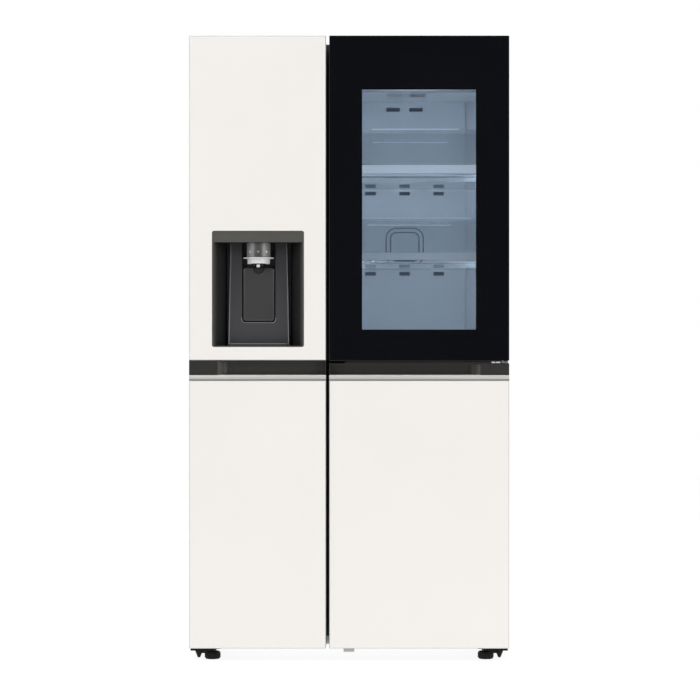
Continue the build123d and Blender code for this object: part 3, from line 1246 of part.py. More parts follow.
def window_glass():
    """Front pane over the whole door and the rear pane of the double glazing."""
    front_pane = upright(
        FRIDGE_DOOR_X, (WINDOW_DOOR_BOTTOM, DOOR_TOP), (FRONT, FRONT + GLASS_THICKNESS), GLASS_CORNER)
    rear = FRONT + WINDOW_DOOR_THICKNESS
    margin = FRAME_WINDOW_MARGIN + REAR_PANE_SEAT
    rear_pane = upright(
        grown(WINDOW_X, margin), grown(WINDOW_Z, margin), (rear - GLASS_THICKNESS, rear))
    return Compound([front_pane, rear_pane])


def window_mask():
    """Black printed border behind the front pane."""
    y = (FRONT + GLASS_THICKNESS, FRONT + GLASS_THICKNESS + MASK_THICKNESS)
    sheet = upright(FRIDGE_DOOR_X, (WINDOW_DOOR_BOTTOM, DOOR_TOP), y)
    sheet = chamfer(sheet.edges().filter_by(Axis.Y), GLASS_CORNER)
    return sheet - upright(WINDOW_X, WINDOW_Z, grown(y, CUT))


def latch_axis():
    """Y and Z of the latch lever's pivot."""
    return FRONT + LATCH_BACK + LATCH_THICKNESS / 2, WINDOW_DOOR_BOTTOM + LATCH_PIVOT_RISE


def window_frame():
    """Frame of the window door, stepped at the top for its hinge and slotted for the latch."""
    x = FRIDGE_DOOR_X
    front = FRONT + GLASS_THICKNESS + MASK_THICKNESS
    rear = FRONT + WINDOW_DOOR_THICKNESS
    frame = block(x, (front, rear), (WINDOW_DOOR_BOTTOM, DOOR_CORE_TOP))
    outer_edge = frame.edges().filter_by(Axis.Z).group_by(Axis.Y)[-1].sort_by(Axis.X)[-1]
    frame = chamfer(outer_edge, WINDOW_REAR_CHAMFER)
    frame += block(x, (front, front + FRAME_LIP), (DOOR_CORE_TOP, DOOR_TOP))
    margin = FRAME_WINDOW_MARGIN
    frame -= upright(grown(WINDOW_X, margin), grown(WINDOW_Z, margin), grown((front, rear), CUT))
    seat = margin + REAR_PANE_SEAT
    frame -= upright(
        grown(WINDOW_X, seat), grown(WINDOW_Z, seat), (rear - GLASS_THICKNESS, rear + CUT))
    hinge_x, hinge_y = window_axis()
    depth = WINDOW_PIN_DEPTH + PIN_END_CLEARANCE
    radius = WINDOW_PIN_RADIUS + RUNNING_CLEARANCE
    frame -= post(hinge_x, hinge_y, (DOOR_CORE_TOP - depth, DOOR_CORE_TOP + CUT), radius)
    frame -= post(hinge_x, hinge_y, (WINDOW_DOOR_BOTTOM - CUT, WINDOW_DOOR_BOTTOM + depth), radius)
    pivot_y, pivot_z = latch_axis()
    slot_y = (FRONT + LATCH_SLOT_Y[0], FRONT + LATCH_SLOT_Y[1])
    frame -= block(
        grown(LATCH_X, LATCH_SLOT_MARGIN), slot_y, (WINDOW_DOOR_BOTTOM - CUT, pivot_z + LATCH_SLOT_RISE))
    bore_reach = LATCH_SLOT_MARGIN + LATCH_PIN_LENGTH + PIN_END_CLEARANCE
    frame -= cross_bar(grown(LATCH_X, bore_reach), pivot_y, pivot_z, LATCH_PIN_RADIUS + RUNNING_CLEARANCE)
    return frame


def window_gasket():
    """Seal round the back of the window door."""
    hinge_x, _ = window_axis()
    x = (FRIDGE_DOOR_X[0] + WINDOW_GASKET_INSET, hinge_x - WINDOW_GASKET_PIN_GAP)
    z = (WINDOW_DOOR_BOTTOM + WINDOW_GASKET_RISE, DOOR_CORE_TOP - WINDOW_GASKET_INSET)
    rear = FRONT + WINDOW_DOOR_THICKNESS
    return ring(
        x, z, (rear, CASE_FRONT - WINDOW_GASKET_CLEARANCE), WINDOW_GASKET_WIDTH)


def window_hinges():
    """Upper and lower brackets of the window door, fixed to the refrigerator door."""
    hinge_x, hinge_y = window_axis()
    arm_x = (hinge_x - WINDOW_HINGE_ARM_WIDTH, hinge_x + WINDOW_HINGE_TIP)
    upper_z = (DOOR_CORE_TOP, DOOR_CORE_TOP + WINDOW_HINGE_PLATE)
    raised_z = (upper_z[0] + WINDOW_HINGE_LIFT, upper_z[1])
    upper = turned(hinge_x, hinge_y, raised_z, WINDOW_HINGE_ARM_RADIUS)
    upper += block(arm_x, (hinge_y, CASE_FRONT + CUT), raised_z)
    pad_x = (hinge_x - WINDOW_HINGE_PAD, HINGE_X - HINGE_ARM_RADIUS - WINDOW_PAD_CLEARANCE[0])
    upper += block(pad_x, (CASE_FRONT, DOOR_REAR - WINDOW_PAD_CLEARANCE[1]), upper_z)
    upper += post(hinge_x, hinge_y, (upper_z[0] - WINDOW_PIN_DEPTH, upper_z[1]), WINDOW_PIN_RADIUS)
    lower_z = (WINDOW_HANDLE_TOP, WINDOW_HANDLE_TOP + WINDOW_HINGE_PLATE)
    lower = block(
        (hinge_x - WINDOW_HINGE_ARM_WIDTH, SIDE), (hinge_y - WINDOW_HINGE_ARM_RADIUS, CASE_FRONT), lower_z)
    lower = chamfer(lower.edges().filter_by(Axis.Z).group_by(Axis.Y)[0], WINDOW_HINGE_TIP)
    pin_z = (lower_z[0], WINDOW_DOOR_BOTTOM + WINDOW_PIN_DEPTH)
    lower += post(hinge_x, hinge_y, pin_z, WINDOW_PIN_RADIUS)
    return Compound([upper, lower])


def window_latch():
    """Lever under the free end of the window door that lets it open."""
    pivot_y, pivot_z = latch_axis()
    y = (FRONT + LATCH_BACK, FRONT + LATCH_BACK + LATCH_THICKNESS)
    z = (WINDOW_DOOR_BOTTOM - LATCH_DROP, pivot_z + LATCH_HEAD)
    lever = block(LATCH_X, y, z)
    lever = chamfer(lever.edges().filter_by(Axis.X).group_by(Axis.Z)[0], LATCH_EDGE)
    reach = LATCH_SLOT_MARGIN + LATCH_PIN_LENGTH
    pin = RegularPolygon(LATCH_PIN_RADIUS, PIN_SIDES)
    return lever + prism(grown(LATCH_X, reach), pin, pivot_y, pivot_z)


def cabinet_nodes():
    """Nodes of the cabinet, its base, its cooling parts and its shelves."""
    freezer_flange = (-SIDE + SHELL_FLANGE, DOOR_SPLIT_X - MULLION_COVER_WIDTH / 2)
    fridge_flange = (DOOR_SPLIT_X + MULLION_COVER_WIDTH / 2, SIDE - SHELL_FLANGE)
    duct_back = LINER_BACK - DUCT_THICKNESS
    freezer_glass = shelf_glass(FREEZER_X, FREEZER_DUCT_FRONT, FREEZER_SHELVES)
    return {
        "cabinet_shell": cabinet_shell(),
        "cabinet_back_panel": cabinet_back_panel(),
        "cabinet_insulation": cabinet_insulation(),
        "freezer_liner": liner(FREEZER_X, freezer_flange, FREEZER_SHELVES),
        "fridge_liner": liner(FRIDGE_X, fridge_flange, FRIDGE_SHELVES),
        "mullion_cover": block(
            (freezer_flange[1], fridge_flange[0]),
            (CABINET_FRONT, CABINET_FRONT + LINER_FLANGE), (FOAM_BOTTOM, CABINET_TOP - SHELL_FLANGE)),
        "base_frame": base_frame(),
        "machine_room_cover": machine_room_cover(),
        "door_hinges": Compound(upper_hinges() + lower_hinges()),
        "hinge_covers": hinge_covers(),
        "leveling_foot_left": leveling_foot(-1),
        "leveling_foot_right": leveling_foot(1),
        "rear_rollers": rear_rollers(),
        "compressor": compressor(),
        "condenser": condenser(),
        "condenser_fan": condenser_fan(),
        "fan_motors": fan_motors(),
        "evaporator": evaporator(),
        "evaporator_fan": evaporator_fan(),
        "freezer_air_duct": freezer_air_duct(),
        "fridge_air_duct": fridge_air_duct(),
        "air_filter_cover": air_filter_cover(),
        "fridge_light": fridge_light(),
        "fridge_shelf_glass": Compound(shelf_glass(FRIDGE_X, duct_back, FRIDGE_SHELVES)),
        "fridge_shelf_trim": Compound(shelf_trim(FRIDGE_X, FRIDGE_SHELVES)),
        "freezer_shelves": Compound(freezer_glass + shelf_trim(FREEZER_X, FREEZER_SHELVES)),
    }


def drawer_nodes():
    """Nodes of the four drawers."""
    fridge_back = LINER_BACK - DUCT_THICKNESS - DRAWER_BACK_CLEARANCE
    freezer_back = FREEZER_DUCT_FRONT - DRAWER_BACK_CLEARANCE
    return {
        "crisper_upper": drawer(FRIDGE_X, UPPER_DRAWER_Z, fridge_back),
        "crisper_lower": drawer(FRIDGE_X, LOWER_DRAWER_Z, LOWER_DRAWER_BACK),
        "freezer_drawer_upper": drawer(FREEZER_X, UPPER_DRAWER_Z, freezer_back),
        "freezer_drawer_lower": drawer(FREEZER_X, LOWER_DRAWER_Z, LOWER_DRAWER_BACK),
    }


def freezer_door_nodes():
    """Nodes of the freezer door and its dispenser."""
    gasket_x = (-SIDE + GASKET_HINGE_INSET, FREEZER_DOOR_X[1] - GASKET_FREE_INSET)
    bin_heights = [DOOR_BIN_HEIGHT] * len(FREEZER_BIN_FLOORS)
    return {
        "freezer_door_core": freezer_door_core(),
        "freezer_door_liner": freezer_door_liner(),
        "freezer_upper_panel": freezer_upper_panel(),
        "freezer_lower_panel": door_panel(FREEZER_DOOR_X, (DOOR_BOTTOM, HANDLE_BOTTOM)),
        "freezer_handle_channel": handle_channel(FREEZER_DOOR_X, HANDLE_TOP, -1),
        "freezer_handle_grip": handle_grip(FREEZER_DOOR_X),
        "freezer_gasket": door_gasket(gasket_x),
        "freezer_door_bins": Compound(
            door_bins(FREEZER_RIB_X, FREEZER_BIN_FLOORS, bin_heights, DOOR_REAR, BIN_REACH)),
        "dispenser_housing": dispenser_housing(),
        "dispenser_column": dispenser_column(),
        "dispenser_head": dispenser_head(),
        "dispenser_spout": dispenser_spout(),
        "dispenser_paddle": dispenser_paddle(),
        "drip_tray": drip_tray(),
        "ice_maker": ice_maker(),
        "ice_bucket": ice_bucket(),
    }


def fridge_door_nodes():
    """Nodes of the refrigerator door and its window door."""
    gasket_x = (FRIDGE_DOOR_X[0] + GASKET_FREE_INSET, SIDE - GASKET_HINGE_INSET)
    return {
        "fridge_door_core": fridge_door_core(),
        "fridge_door_liner": fridge_door_liner(),
        "fridge_lower_panel": door_panel(FRIDGE_DOOR_X, (DOOR_BOTTOM, HANDLE_BOTTOM)),
        "fridge_handle_channel": handle_channel(FRIDGE_DOOR_X, WINDOW_HANDLE_TOP, 1),
        "fridge_handle_grip": handle_grip(FRIDGE_DOOR_X),
        "fridge_gasket": door_gasket(gasket_x),
        "fridge_door_bins": fridge_door_bins(),
        "door_bottom_block": door_bottom_block(),
        "window_hinges": window_hinges(),
        "window_frame": window_frame(),
        "window_glass": window_glass(),
        "window_mask": window_mask(),
        "window_gasket": window_gasket(),
        "window_latch": window_latch(),
    }


def main():
    """Write one file for each node."""
    os.makedirs("parts", exist_ok=True)
    nodes = {**cabinet_nodes(), **drawer_nodes(), **freezer_door_nodes(), **fridge_door_nodes()}
    for name, shape in nodes.items():
        export_step(shape, f"parts/{name}.step")


main()
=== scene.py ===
"""Looks of a side by side refrigerator: finishes, small added pieces, studio light and camera.

Metres. X runs to the right as seen from the front, Y from the doors to the back, Z up.
"""

import json
import math

import bmesh
import bpy
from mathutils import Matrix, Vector


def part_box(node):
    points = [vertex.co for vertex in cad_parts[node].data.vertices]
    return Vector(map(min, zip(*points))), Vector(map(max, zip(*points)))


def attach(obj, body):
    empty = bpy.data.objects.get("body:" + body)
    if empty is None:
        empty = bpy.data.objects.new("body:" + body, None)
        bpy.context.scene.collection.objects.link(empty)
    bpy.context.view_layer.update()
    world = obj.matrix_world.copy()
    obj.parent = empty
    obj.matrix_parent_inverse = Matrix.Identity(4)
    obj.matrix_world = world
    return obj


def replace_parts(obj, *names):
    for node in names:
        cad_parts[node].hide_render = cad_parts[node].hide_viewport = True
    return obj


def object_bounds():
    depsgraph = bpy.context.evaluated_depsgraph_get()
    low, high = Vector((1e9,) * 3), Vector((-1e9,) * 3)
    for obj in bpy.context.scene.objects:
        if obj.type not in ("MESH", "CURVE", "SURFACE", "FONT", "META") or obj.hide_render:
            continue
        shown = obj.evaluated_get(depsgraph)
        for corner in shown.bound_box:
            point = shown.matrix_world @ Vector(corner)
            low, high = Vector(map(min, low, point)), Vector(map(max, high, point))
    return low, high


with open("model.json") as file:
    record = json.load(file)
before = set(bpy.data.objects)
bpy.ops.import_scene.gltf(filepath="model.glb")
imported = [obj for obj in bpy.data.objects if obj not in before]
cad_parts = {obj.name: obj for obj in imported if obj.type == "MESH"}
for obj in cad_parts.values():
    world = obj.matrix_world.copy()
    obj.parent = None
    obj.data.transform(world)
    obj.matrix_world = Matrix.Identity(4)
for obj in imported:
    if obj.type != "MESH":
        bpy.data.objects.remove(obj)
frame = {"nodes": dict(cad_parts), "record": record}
CAD_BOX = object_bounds()

MM = 0.001
NODES = frame["nodes"]
RECORD = frame["record"]
SLOT_OF = {part["node"]: part["material_slot"] for part in RECORD["subparts"]}
JOINT_PLACES = {joint["name"]: joint.get("pos_m") for joint in RECORD["behaviour"]["joints"]}
OPENINGS = {space["name"]: space["box_m"] for space in RECORD["physics"]["openings"]}

# Camera, level and straight in front, from the picture's own scale
PICTURE_SIZE = 700
PICTURE_SCALE = 2.8505 * MM
PICTURE_FLOOR = 662.06
PICTURE_MIDDLE = 349.15
CAMERA_DISTANCE = 5.5
SENSOR = 36.0

# Studio light: world levels, the directions in front between which they change, and the lights' name, place,
# side and power
WHITE = (1.0, 1.0, 1.0)
WORLD_LEVEL = 0.535
WORLD_FRONT_LEVEL = 0.02
WORLD_OPENING = (-0.96, -0.75)
STUDIO_TARGET = (0.0, 0.0, 0.9)
STUDIO_LIGHTS = (
    ("key_light", (-2.6, -3.2, 2.8), 2.2, 52),
    ("fill_light", (2.8, -3.0, 2.2), 2.2, 43),
    ("top_light", (0.0, 0.0, 4.2), 3.0, 43))

# Floor disc, and the distances over which it fades out
FLOOR_RADIUS = 14.0
FLOOR_SIDES = 96
FLOOR_FADE = (3.0, 8.4)
FLOOR_GLOW = 0.9
FLOOR_COLOUR = (0.13, 0.13, 0.13)
FLOOR_ROUGHNESS = 0.7

# Interior light through the window
CABIN_STRIP = (0.03, 0.84)
CABIN_STRIP_INSET = 6 * MM
CABIN_STRIP_MIDDLE = 1.27
CABIN_STRIP_GAP = 5 * MM
CABIN_STRIP_POWERS = {"fridge": 0.79, "freezer": 0.35}
CABIN_STRIP_SPREAD = math.radians(140)
CABIN_LAMP = (0.18, 0.05)
CABIN_LAMP_GAP = 5 * MM
CABIN_LAMP_POWER = 0.075
CABIN_COLOUR = (0.96, 0.98, 1.0)

# Vents of the duct cover: depths of their floors, height within which they are one row, the dark sheet of
# painted shade on their floors, and slats
VENT_DEPTHS = (5 * MM, 14 * MM)
VENT_ROW = 1 * MM
VENT_SHADE = 0.5 * MM
VENT_SLATS = 2
VENT_SLAT = 1.2 * MM
VENT_SLAT_DEPTH = 6 * MM
VENT_SLAT_EDGE = 0.3 * MM

# Shiny cover under the rear of the refrigerator compartment's ceiling, with painted shade on its front edge
# where the lamp lights it, and two air outlets of a few bars that also paint a reflection of the duct's upper
# vents in the cover
CEILING_COVER_DROP = 46 * MM
CEILING_COVER_GAP = 2 * MM
CEILING_COVER_PLAY = 0.15 * MM
CEILING_COVER_CORNER = 10 * MM
CEILING_EDGE_SHADE_TONE = (168, 173, 178)
CEILING_OUTLET_START = 25 * MM
CEILING_OUTLET_BARS = 4
CEILING_OUTLET_BAR = 15 * MM
CEILING_OUTLET_PITCH = 21 * MM
CEILING_OUTLET_RISE = 0.8 * MM

# Air filter cover, with a dark joint round it, partly a seal and partly painted shade, and painted shade in
# the groove round its face
FILTER_RIM_DEPTHS = (1 * MM, 6 * MM)
FILTER_LINE = 4.5 * MM
FILTER_LINE_HEIGHT = 1 * MM
FILTER_BORDER = 14 * MM
FILTER_CORNER = 30 / 114

# Depths behind the front over which a cream sheet's rounded edge darkens with painted shade, and turns cream
# again on its side
EDGE_SHADE = (0.1 * MM, 1.3 * MM)
EDGE_CREAM = (3.5 * MM, 6 * MM)
EDGE_SHADE_TONE = (196, 194, 190)

# Heights about the top of the upper cream sheet over which a thin line of painted shade darkens its upper
# edge
TOP_EDGE_SHADE = (-3.6 * MM, -2.6 * MM)
TOP_EDGE_SHADE_TONE = (206, 205, 202)

# Size, detail and depth of the waves in the cream sheets
CREAM_WAVE = (0.12, 1.0)
CREAM_WAVE_DEPTH = 0.15 * MM

# Cap over the upper end of the mullion, a dark sheet of painted shade at the top of the gap between the doors
MULLION_CAP = 0.4 * MM

# Depths behind the front over which the niche darkens with painted shade, the pocket's ends take a painted
# highlight, and its deep inside a milder painted light
NICHE_SHADE = (0.6 * MM, 20 * MM)
NICHE_TONE = (25, 25, 25)
POCKET_HIGHLIGHT = (2 * MM, 12 * MM)
POCKET_HIGHLIGHT_TONE = (132, 126, 123)
POCKET_DEEP_LIGHT = (22 * MM, 33 * MM)
POCKET_DEEP_LIGHT_TONE = (73, 72, 68)

# Grip bars, brushed along their length, and the heights over which painted shade darkens their rounded
# underside
GRIP_TONES = ((222, 221, 218), (234, 233, 230))
GRIP_ROUGH = (0.36, 0.48)
GRIP_METAL = 0.6
GRIP_BRUSH = (1.0, 4.0, (3, 900, 900))
GRIP_BRUSH_DEPTH = 0.02 * MM
GRIP_SHADE = (5.5 * MM, 3.0 * MM)
GRIP_SHADE_TONE = (164, 163, 160)

# Case bins behind the window: glowing rails of painted highlight on their rims as bin, drop below the rim,
# span and finish, and feet about the floor, which glow with painted light
BIN_RIM = 3.0 * MM
BIN_RIM_HIGHLIGHTS = (
    ("window_bin_3_inside", 0.0, (66 * MM, 316 * MM), "milky_bright"),
    ("window_bin_3_inside", 38 * MM, (68 * MM, 282 * MM), "milky_soft"),
    ("window_bin_2_inside", 0.0, (34 * MM, 352 * MM), "milky_soft"),
    ("window_bin_2_inside", 20 * MM, (54 * MM, 293 * MM), "milky_soft"),
    ("window_bin_1_inside", 0.0, (54 * MM, 340 * MM), "milky_soft"))
BIN_FEET = (
    ("window_bin_3_inside", (-13 * MM, 11 * MM), "milky_bright"),
    ("window_bin_2_inside", (-6 * MM, 14 * MM), "milky_soft"),
    ("window_bin_1_inside", (-6 * MM, 14 * MM), "milky_soft"))

# Window door
PANE_CORNER = 3 * MM
PANE_EDGE = 0.8 * MM
PANE_GAP = 0.15 * MM
PANE_THICKNESS = 4 * MM
REAR_PANE_MARGIN = 18 * MM

# Round head of the dispenser, its sleeve of lit lacquered flanks and a darker middle panel that paint the
# head's reflection, and the sides of its three marks
HEAD_BACK = 46 * MM
HEAD_RADIUS = 33 * MM
SLEEVE = 1.2 * MM
SLEEVE_GAP = 0.4 * MM
HEAD_REACH = math.radians(125)
PANEL_REACH = math.radians(26)
PANEL_BLEND = (8 * MM, 15 * MM)
PANEL_REFLECTION_PALE = (132, 133, 132)
PANEL_REFLECTION_DARK = (77, 76, 74)
HEAD_STEPS = 48
MARK_SIDES = {-1: 4, 0: 16, 1: 6}
MARK_TURN = math.radians(44)
MARK_RADIUS = 3.4 * MM
MARK_HEIGHT = 0.3 * MM
MARK_RISE = 15 * MM

# Outlet under the head, with radii and heights in millimetres
FLANGE_DROP = 1.0 * MM
OUTLET_SECTION = (
    (24.0, 0.0), (43.7, 0.0), (44.5, -0.8), (44.5, -1.8), (43.6, -2.6), (34.2, -3.4), (32.5, -4.8),
    (32.5, -16.4), (31.6, -17.5), (30.6, -17.8), (24.8, -17.8), (24.0, -17.0))
NOZZLE_BACK = 28.25 * MM
NOZZLE_NECK_PROFILE = ((3.4, 0.0), (3.4, -3.4))
NOZZLE_PROFILE = (
    (4.0, -3.0), (5.0, -3.5), (5.4, -5.0), (5.4, -7.6), (4.9, -9.4), (3.9, -10.5), (2.7, -10.9), (2.2, -10.2),
    (2.0, -6.0))
NOZZLE_PIN_PROFILE = ((1.9, 0.0), (1.9, -5.4), (1.4, -6.4), (0.7, -6.8))
NOZZLE_PIN_X = 11.5 * MM
ROUND_SIDES = 24

# Back column of the niche, darker towards the top with painted shade and with beads of painted highlight down
# its edges;
# slot and pad of the paddle, with a bead of painted highlight along the slot's foot; drip tray with a bead of
# painted highlight
COLUMN_TOP_SHADE_TONES = {"dispenser_column": (64, 64, 66), "bright_edge": (84, 85, 88)}
COLUMN_CROWN = 166 * MM
COLUMN_BEAD = 1.7 * MM
COLUMN_BEAD_INSET = 2.5 * MM
COLUMN_BEAD_RISE = 4 * MM
SLOT_WIDTH = 96 * MM
SLOT_GAP = 3 * MM
SLOT_CORNER = 9 * MM
SLOT_LIP_RISE = 14 * MM
SLOT_BEAD = 0.9 * MM
PADDLE_WIDTH = 90 * MM
PADDLE_CORNER = 8 * MM
PAD_MARGIN = 1 * MM
PADDLE_NOTCH = 17 * MM
PADDLE_NOTCH_STEPS = 24
PAD_EDGE = 7 * MM
PAD_HEIGHT = 2.2 * MM
PAD_STEPS = 8
TRAY_BEAD = 0.9 * MM
TRAY_CORNER = 6 * MM

# Lip over the handle band, in the gap under the window door
LIP_X = (-12 * MM, 404 * MM)
LIP_DEPTH = (7 * MM, 15 * MM)
LIP_HEIGHT = 6 * MM

# Bright links of the window door's lower hinge, in the same gap
LINK_SPANS = {
    "spout": ((406 * MM, 417 * MM), (419 * MM, 431 * MM)),
    "zinc": ((437 * MM, 445 * MM), (447 * MM, 454 * MM))}
LINK_DEPTH = (4 * MM, 17 * MM)
LINK_RISE = (1 * MM, 5.5 * MM)

# Black boots of the lower hinges, with radii and heights in millimetres
BOOT_X = (388 * MM, 456 * MM)
BOOT_APRON = 1.5 * MM
BOOT_Z = (25.5 * MM, 34 * MM)
BOOT_WEB_X = (408 * MM, 424 * MM)
BOOT_WEB_Z = 18.5 * MM
BOOT_PROFILE = (
    (13.4, 29.0), (12.4, 25.0), (9.4, 17.0), (6.8, 10.5), (5.0, 6.0), (4.2, 3.8), (3.0, 2.6), (1.0, 2.3))

# Back of the cabinet: screws, with radii and heights as shares of their radius, and louvres
SCREW_RADIUS = 4 * MM
SCREW_PROFILE = ((1.0, 0.0), (1.0, 0.15), (0.8, 0.4), (0.45, 0.48), (0.4, 0.2))
SCREW_SIDES = 12
SCREW_INSET = 9 * MM
BACK_SCREW_ROWS = 7
COVER_SCREW_COLUMNS = 5
LOUVRE_SIZE = (230 * MM, 8 * MM)
LOUVRE_PITCH = 18 * MM
LOUVRE_COUNT = 9
LOUVRE_X = 200 * MM
LOUVRE_LIP = 1.9 * MM
LOUVRE_DROP = 3 * MM
LOUVRE_SHEET = 0.6 * MM

# Fineness of round outlines and soft edges, and how many soft edges a thin bar's thickness holds
QUARTER = math.pi / 2
CORNER_STEPS = 6
BEAD_SIDES = 10
SMOOTH_ANGLE = math.radians(40)
BEVEL_SEGMENTS = 3
TRIM_BEVEL = 1 * MM
THIN_BAR_PARTS = 3

# Flat faces: Y of a normal up to which a face looks to the front, and angle up to which faces are merged
TO_THE_FRONT = -0.99
SAME_PLANE = 0.02

# Curve of screen colours
SCREEN_WHITE = 255
SCREEN_STRAIGHT = 10
SCREEN_SLOPE = 12.92
SCREEN_OFFSET = 0.055
SCREEN_POWER = 2.4

# Patterns: their detail, and the part of their values that is spread from one end of a range to the other
NOISE_DETAIL = 3.0
PATTERN_RANGE = (0.3, 0.7)

# Finishes: two tones from 0 to 255 in blotches of a size, roughness in spots of a size, grain with its depth,
# and values of the shader
PAINT = dict(blotch=0.2, rough=(0.45, 0.6), spot=10 * MM, grain=1.6 * MM, depth=0.06 * MM, pores=True)
MOULDED = dict(blotch=80 * MM, spot=6 * MM, grain=0.9 * MM, depth=0.02 * MM, grain_detail=2.0)
CLEAR = dict(MOULDED, tones=((232, 240, 246), (238, 244, 249)), depth=0.004 * MM)
# milky mouldings that glow with painted light, though they are no lamp
MILKY_GLOW = dict(
    MOULDED, tones=((236, 241, 246), (242, 246, 250)), rough=(0.25, 0.35), Emission_Color=CABIN_COLOUR)
LOOKS = {
    "cream_panel": dict(
        tones=((244, 241, 236), (246, 243, 239)), blotch=0.35, rough=(0.38, 0.46), spot=20 * MM,
        grain=1.5 * MM, depth=0.01 * MM, grain_detail=2.0, Coat_Weight=0.12, Coat_Roughness=0.3),
    "cabinet_paint": dict(PAINT, tones=((169, 167, 162), (172, 170, 165))),
    "door_body": dict(PAINT, tones=((38, 37, 35), (42, 41, 39))),
    "galvanised": dict(
        tones=((168, 171, 174), (178, 181, 184)), blotch=6 * MM, rough=(0.36, 0.48), spot=6 * MM,
        grain=2 * MM, depth=0.02 * MM, spangles=True, Metallic=0.85),
    "black_steel": dict(
        tones=((32, 31, 29), (38, 37, 35)), blotch=30 * MM, rough=(0.4, 0.55), spot=4 * MM,
        grain=0.8 * MM, depth=0.03 * MM),
    "zinc": dict(
        tones=((209, 210, 210), (219, 218, 215)), blotch=5 * MM, rough=(0.24, 0.34), spot=2 * MM,
        grain=0.5 * MM, depth=0.002 * MM, Metallic=1.0),
    "coil": dict(
        tones=((178, 180, 182), (200, 202, 204)), blotch=6 * MM, rough=(0.28, 0.45), spot=3 * MM,
        grain=1 * MM, depth=0.02 * MM, Metallic=1.0),
    "foam": dict(
        tones=((216, 196, 146), (234, 218, 172)), blotch=8 * MM, rough=(0.85, 1.0), spot=4 * MM,
        grain=1.2 * MM, depth=0.3 * MM, pores=True),
    "handle_trim": dict(
        tones=((44, 43, 40), (51, 50, 47)), blotch=0.7 * MM, rough=(0.34, 0.46), spot=5 * MM,
        grain=0.6 * MM, depth=0.01 * MM, blotch_detail=1.0, Metallic=0.25, Coat_Weight=0.2),
    "dispenser_column": dict(
        tones=((87, 87, 91), (91, 91, 95)), blotch=0.6 * MM, rough=(0.3, 0.4), spot=5 * MM,
        grain=0.5 * MM, depth=0.006 * MM, blotch_detail=1.0, Metallic=0.4, Coat_Weight=0.2),
    # painted highlight for the beads on the niche's column and round the drip tray
    "bright_edge": dict(
        tones=((164, 164, 168), (172, 172, 176)), blotch=3 * MM, rough=(0.26, 0.36), spot=2 * MM,
        grain=0.5 * MM, depth=0.005 * MM, Metallic=0.3),
    # lit copy of the head's surface: a painted reflection on its flanks
    "head_lacquer": dict(
        tones=((143, 144, 143), (149, 150, 149)), blotch=4 * MM, rough=(0.42, 0.5), spot=4 * MM,
        grain=0.5 * MM, depth=0.002 * MM, Metallic=0.25),
    # faint glow: painted light on the outlet, its side marks and the hinge links
    "spout": dict(
        tones=((217, 217, 218), (224, 224, 225)), blotch=4 * MM, rough=(0.36, 0.44), spot=2 * MM,
        grain=0.5 * MM, depth=0.002 * MM, Metallic=0.1, Emission_Color=WHITE, Emission_Strength=0.03),
    "black_glass": dict(
        tones=((12, 13, 17), (15, 16, 20)), blotch=0.3, rough=(0.05, 0.09), spot=50 * MM,
        grain=0.25, depth=0.02 * MM, grain_detail=1.0, Coat_Weight=0.3, Coat_Roughness=0.03),
    "liner": dict(
        MOULDED, tones=((228, 233, 237), (231, 235, 239)), rough=(0.24, 0.36),
        grain=2.5 * MM, depth=0.0015 * MM),
    "ceiling_gloss": dict(
        MOULDED, tones=((243, 246, 248), (246, 248, 250)), rough=(0.08, 0.14),
        grain=2.5 * MM, depth=0.0005 * MM),
    "duct": dict(MOULDED, tones=((220, 226, 232), (226, 231, 236)), rough=(0.3, 0.42)),
    # dark vent inserts: painted shade inside the vents
    "vent_dark": dict(MOULDED, tones=((128, 134, 148), (132, 138, 152)), rough=(0.6, 0.8)),
    # dark joints: partly a seal and partly painted shade round the filter cover
    "joint_dark": dict(MOULDED, tones=((88, 94, 108), (94, 100, 114)), rough=(0.6, 0.8)),
    "dispenser_dark": dict(MOULDED, tones=((74, 73, 69), (80, 79, 75)), rough=(0.45, 0.6), grain=0.7 * MM),
    # shaded copy of the head's surface: a painted reflection, dark in the middle
    "head_panel": dict(
        MOULDED, tones=(PANEL_REFLECTION_PALE, PANEL_REFLECTION_PALE), rough=(0.34, 0.42), grain=0.7 * MM, depth=0.004 * MM),
    "paddle": dict(MOULDED, tones=((59, 59, 59), (63, 63, 63)), rough=(0.32, 0.44), grain=0.7 * MM),
    "paddle_back": dict(MOULDED, tones=((22, 22, 22), (26, 26, 26)), rough=(0.5, 0.6), grain=0.7 * MM),
    "gasket": dict(
        MOULDED, tones=((58, 57, 55), (66, 65, 63)), rough=(0.55, 0.7), grain=1.2 * MM, depth=0.04 * MM),
    "black_plastic": dict(
        MOULDED, tones=((16, 16, 15), (20, 19, 18)), rough=(0.5, 0.65), Specular_IOR_Level=0.2),
    "grey_plastic": dict(MOULDED, tones=((176, 175, 172), (184, 183, 180)), rough=(0.42, 0.56)),
    "compressor_paint": dict(
        MOULDED, tones=((26, 26, 26), (32, 32, 32)), rough=(0.25, 0.4), grain=3 * MM, depth=0.05 * MM),
    "lamp_lens": dict(
        MOULDED, tones=((240, 243, 246), (246, 248, 250)), rough=(0.4, 0.5), Emission_Color=CABIN_COLOUR,
        Emission_Strength=2.0),
    "bin_plastic": dict(CLEAR, rough=(0.1, 0.2)),
    # clear trims that glow faintly with painted light, though they are no lamp
    "shelf_trim": dict(CLEAR, rough=(0.25, 0.35), Emission_Color=CABIN_COLOUR, Emission_Strength=0.32),
    "milky_bright": dict(MILKY_GLOW, Emission_Strength=0.6),
    "milky_soft": dict(MILKY_GLOW, Emission_Strength=0.3)}

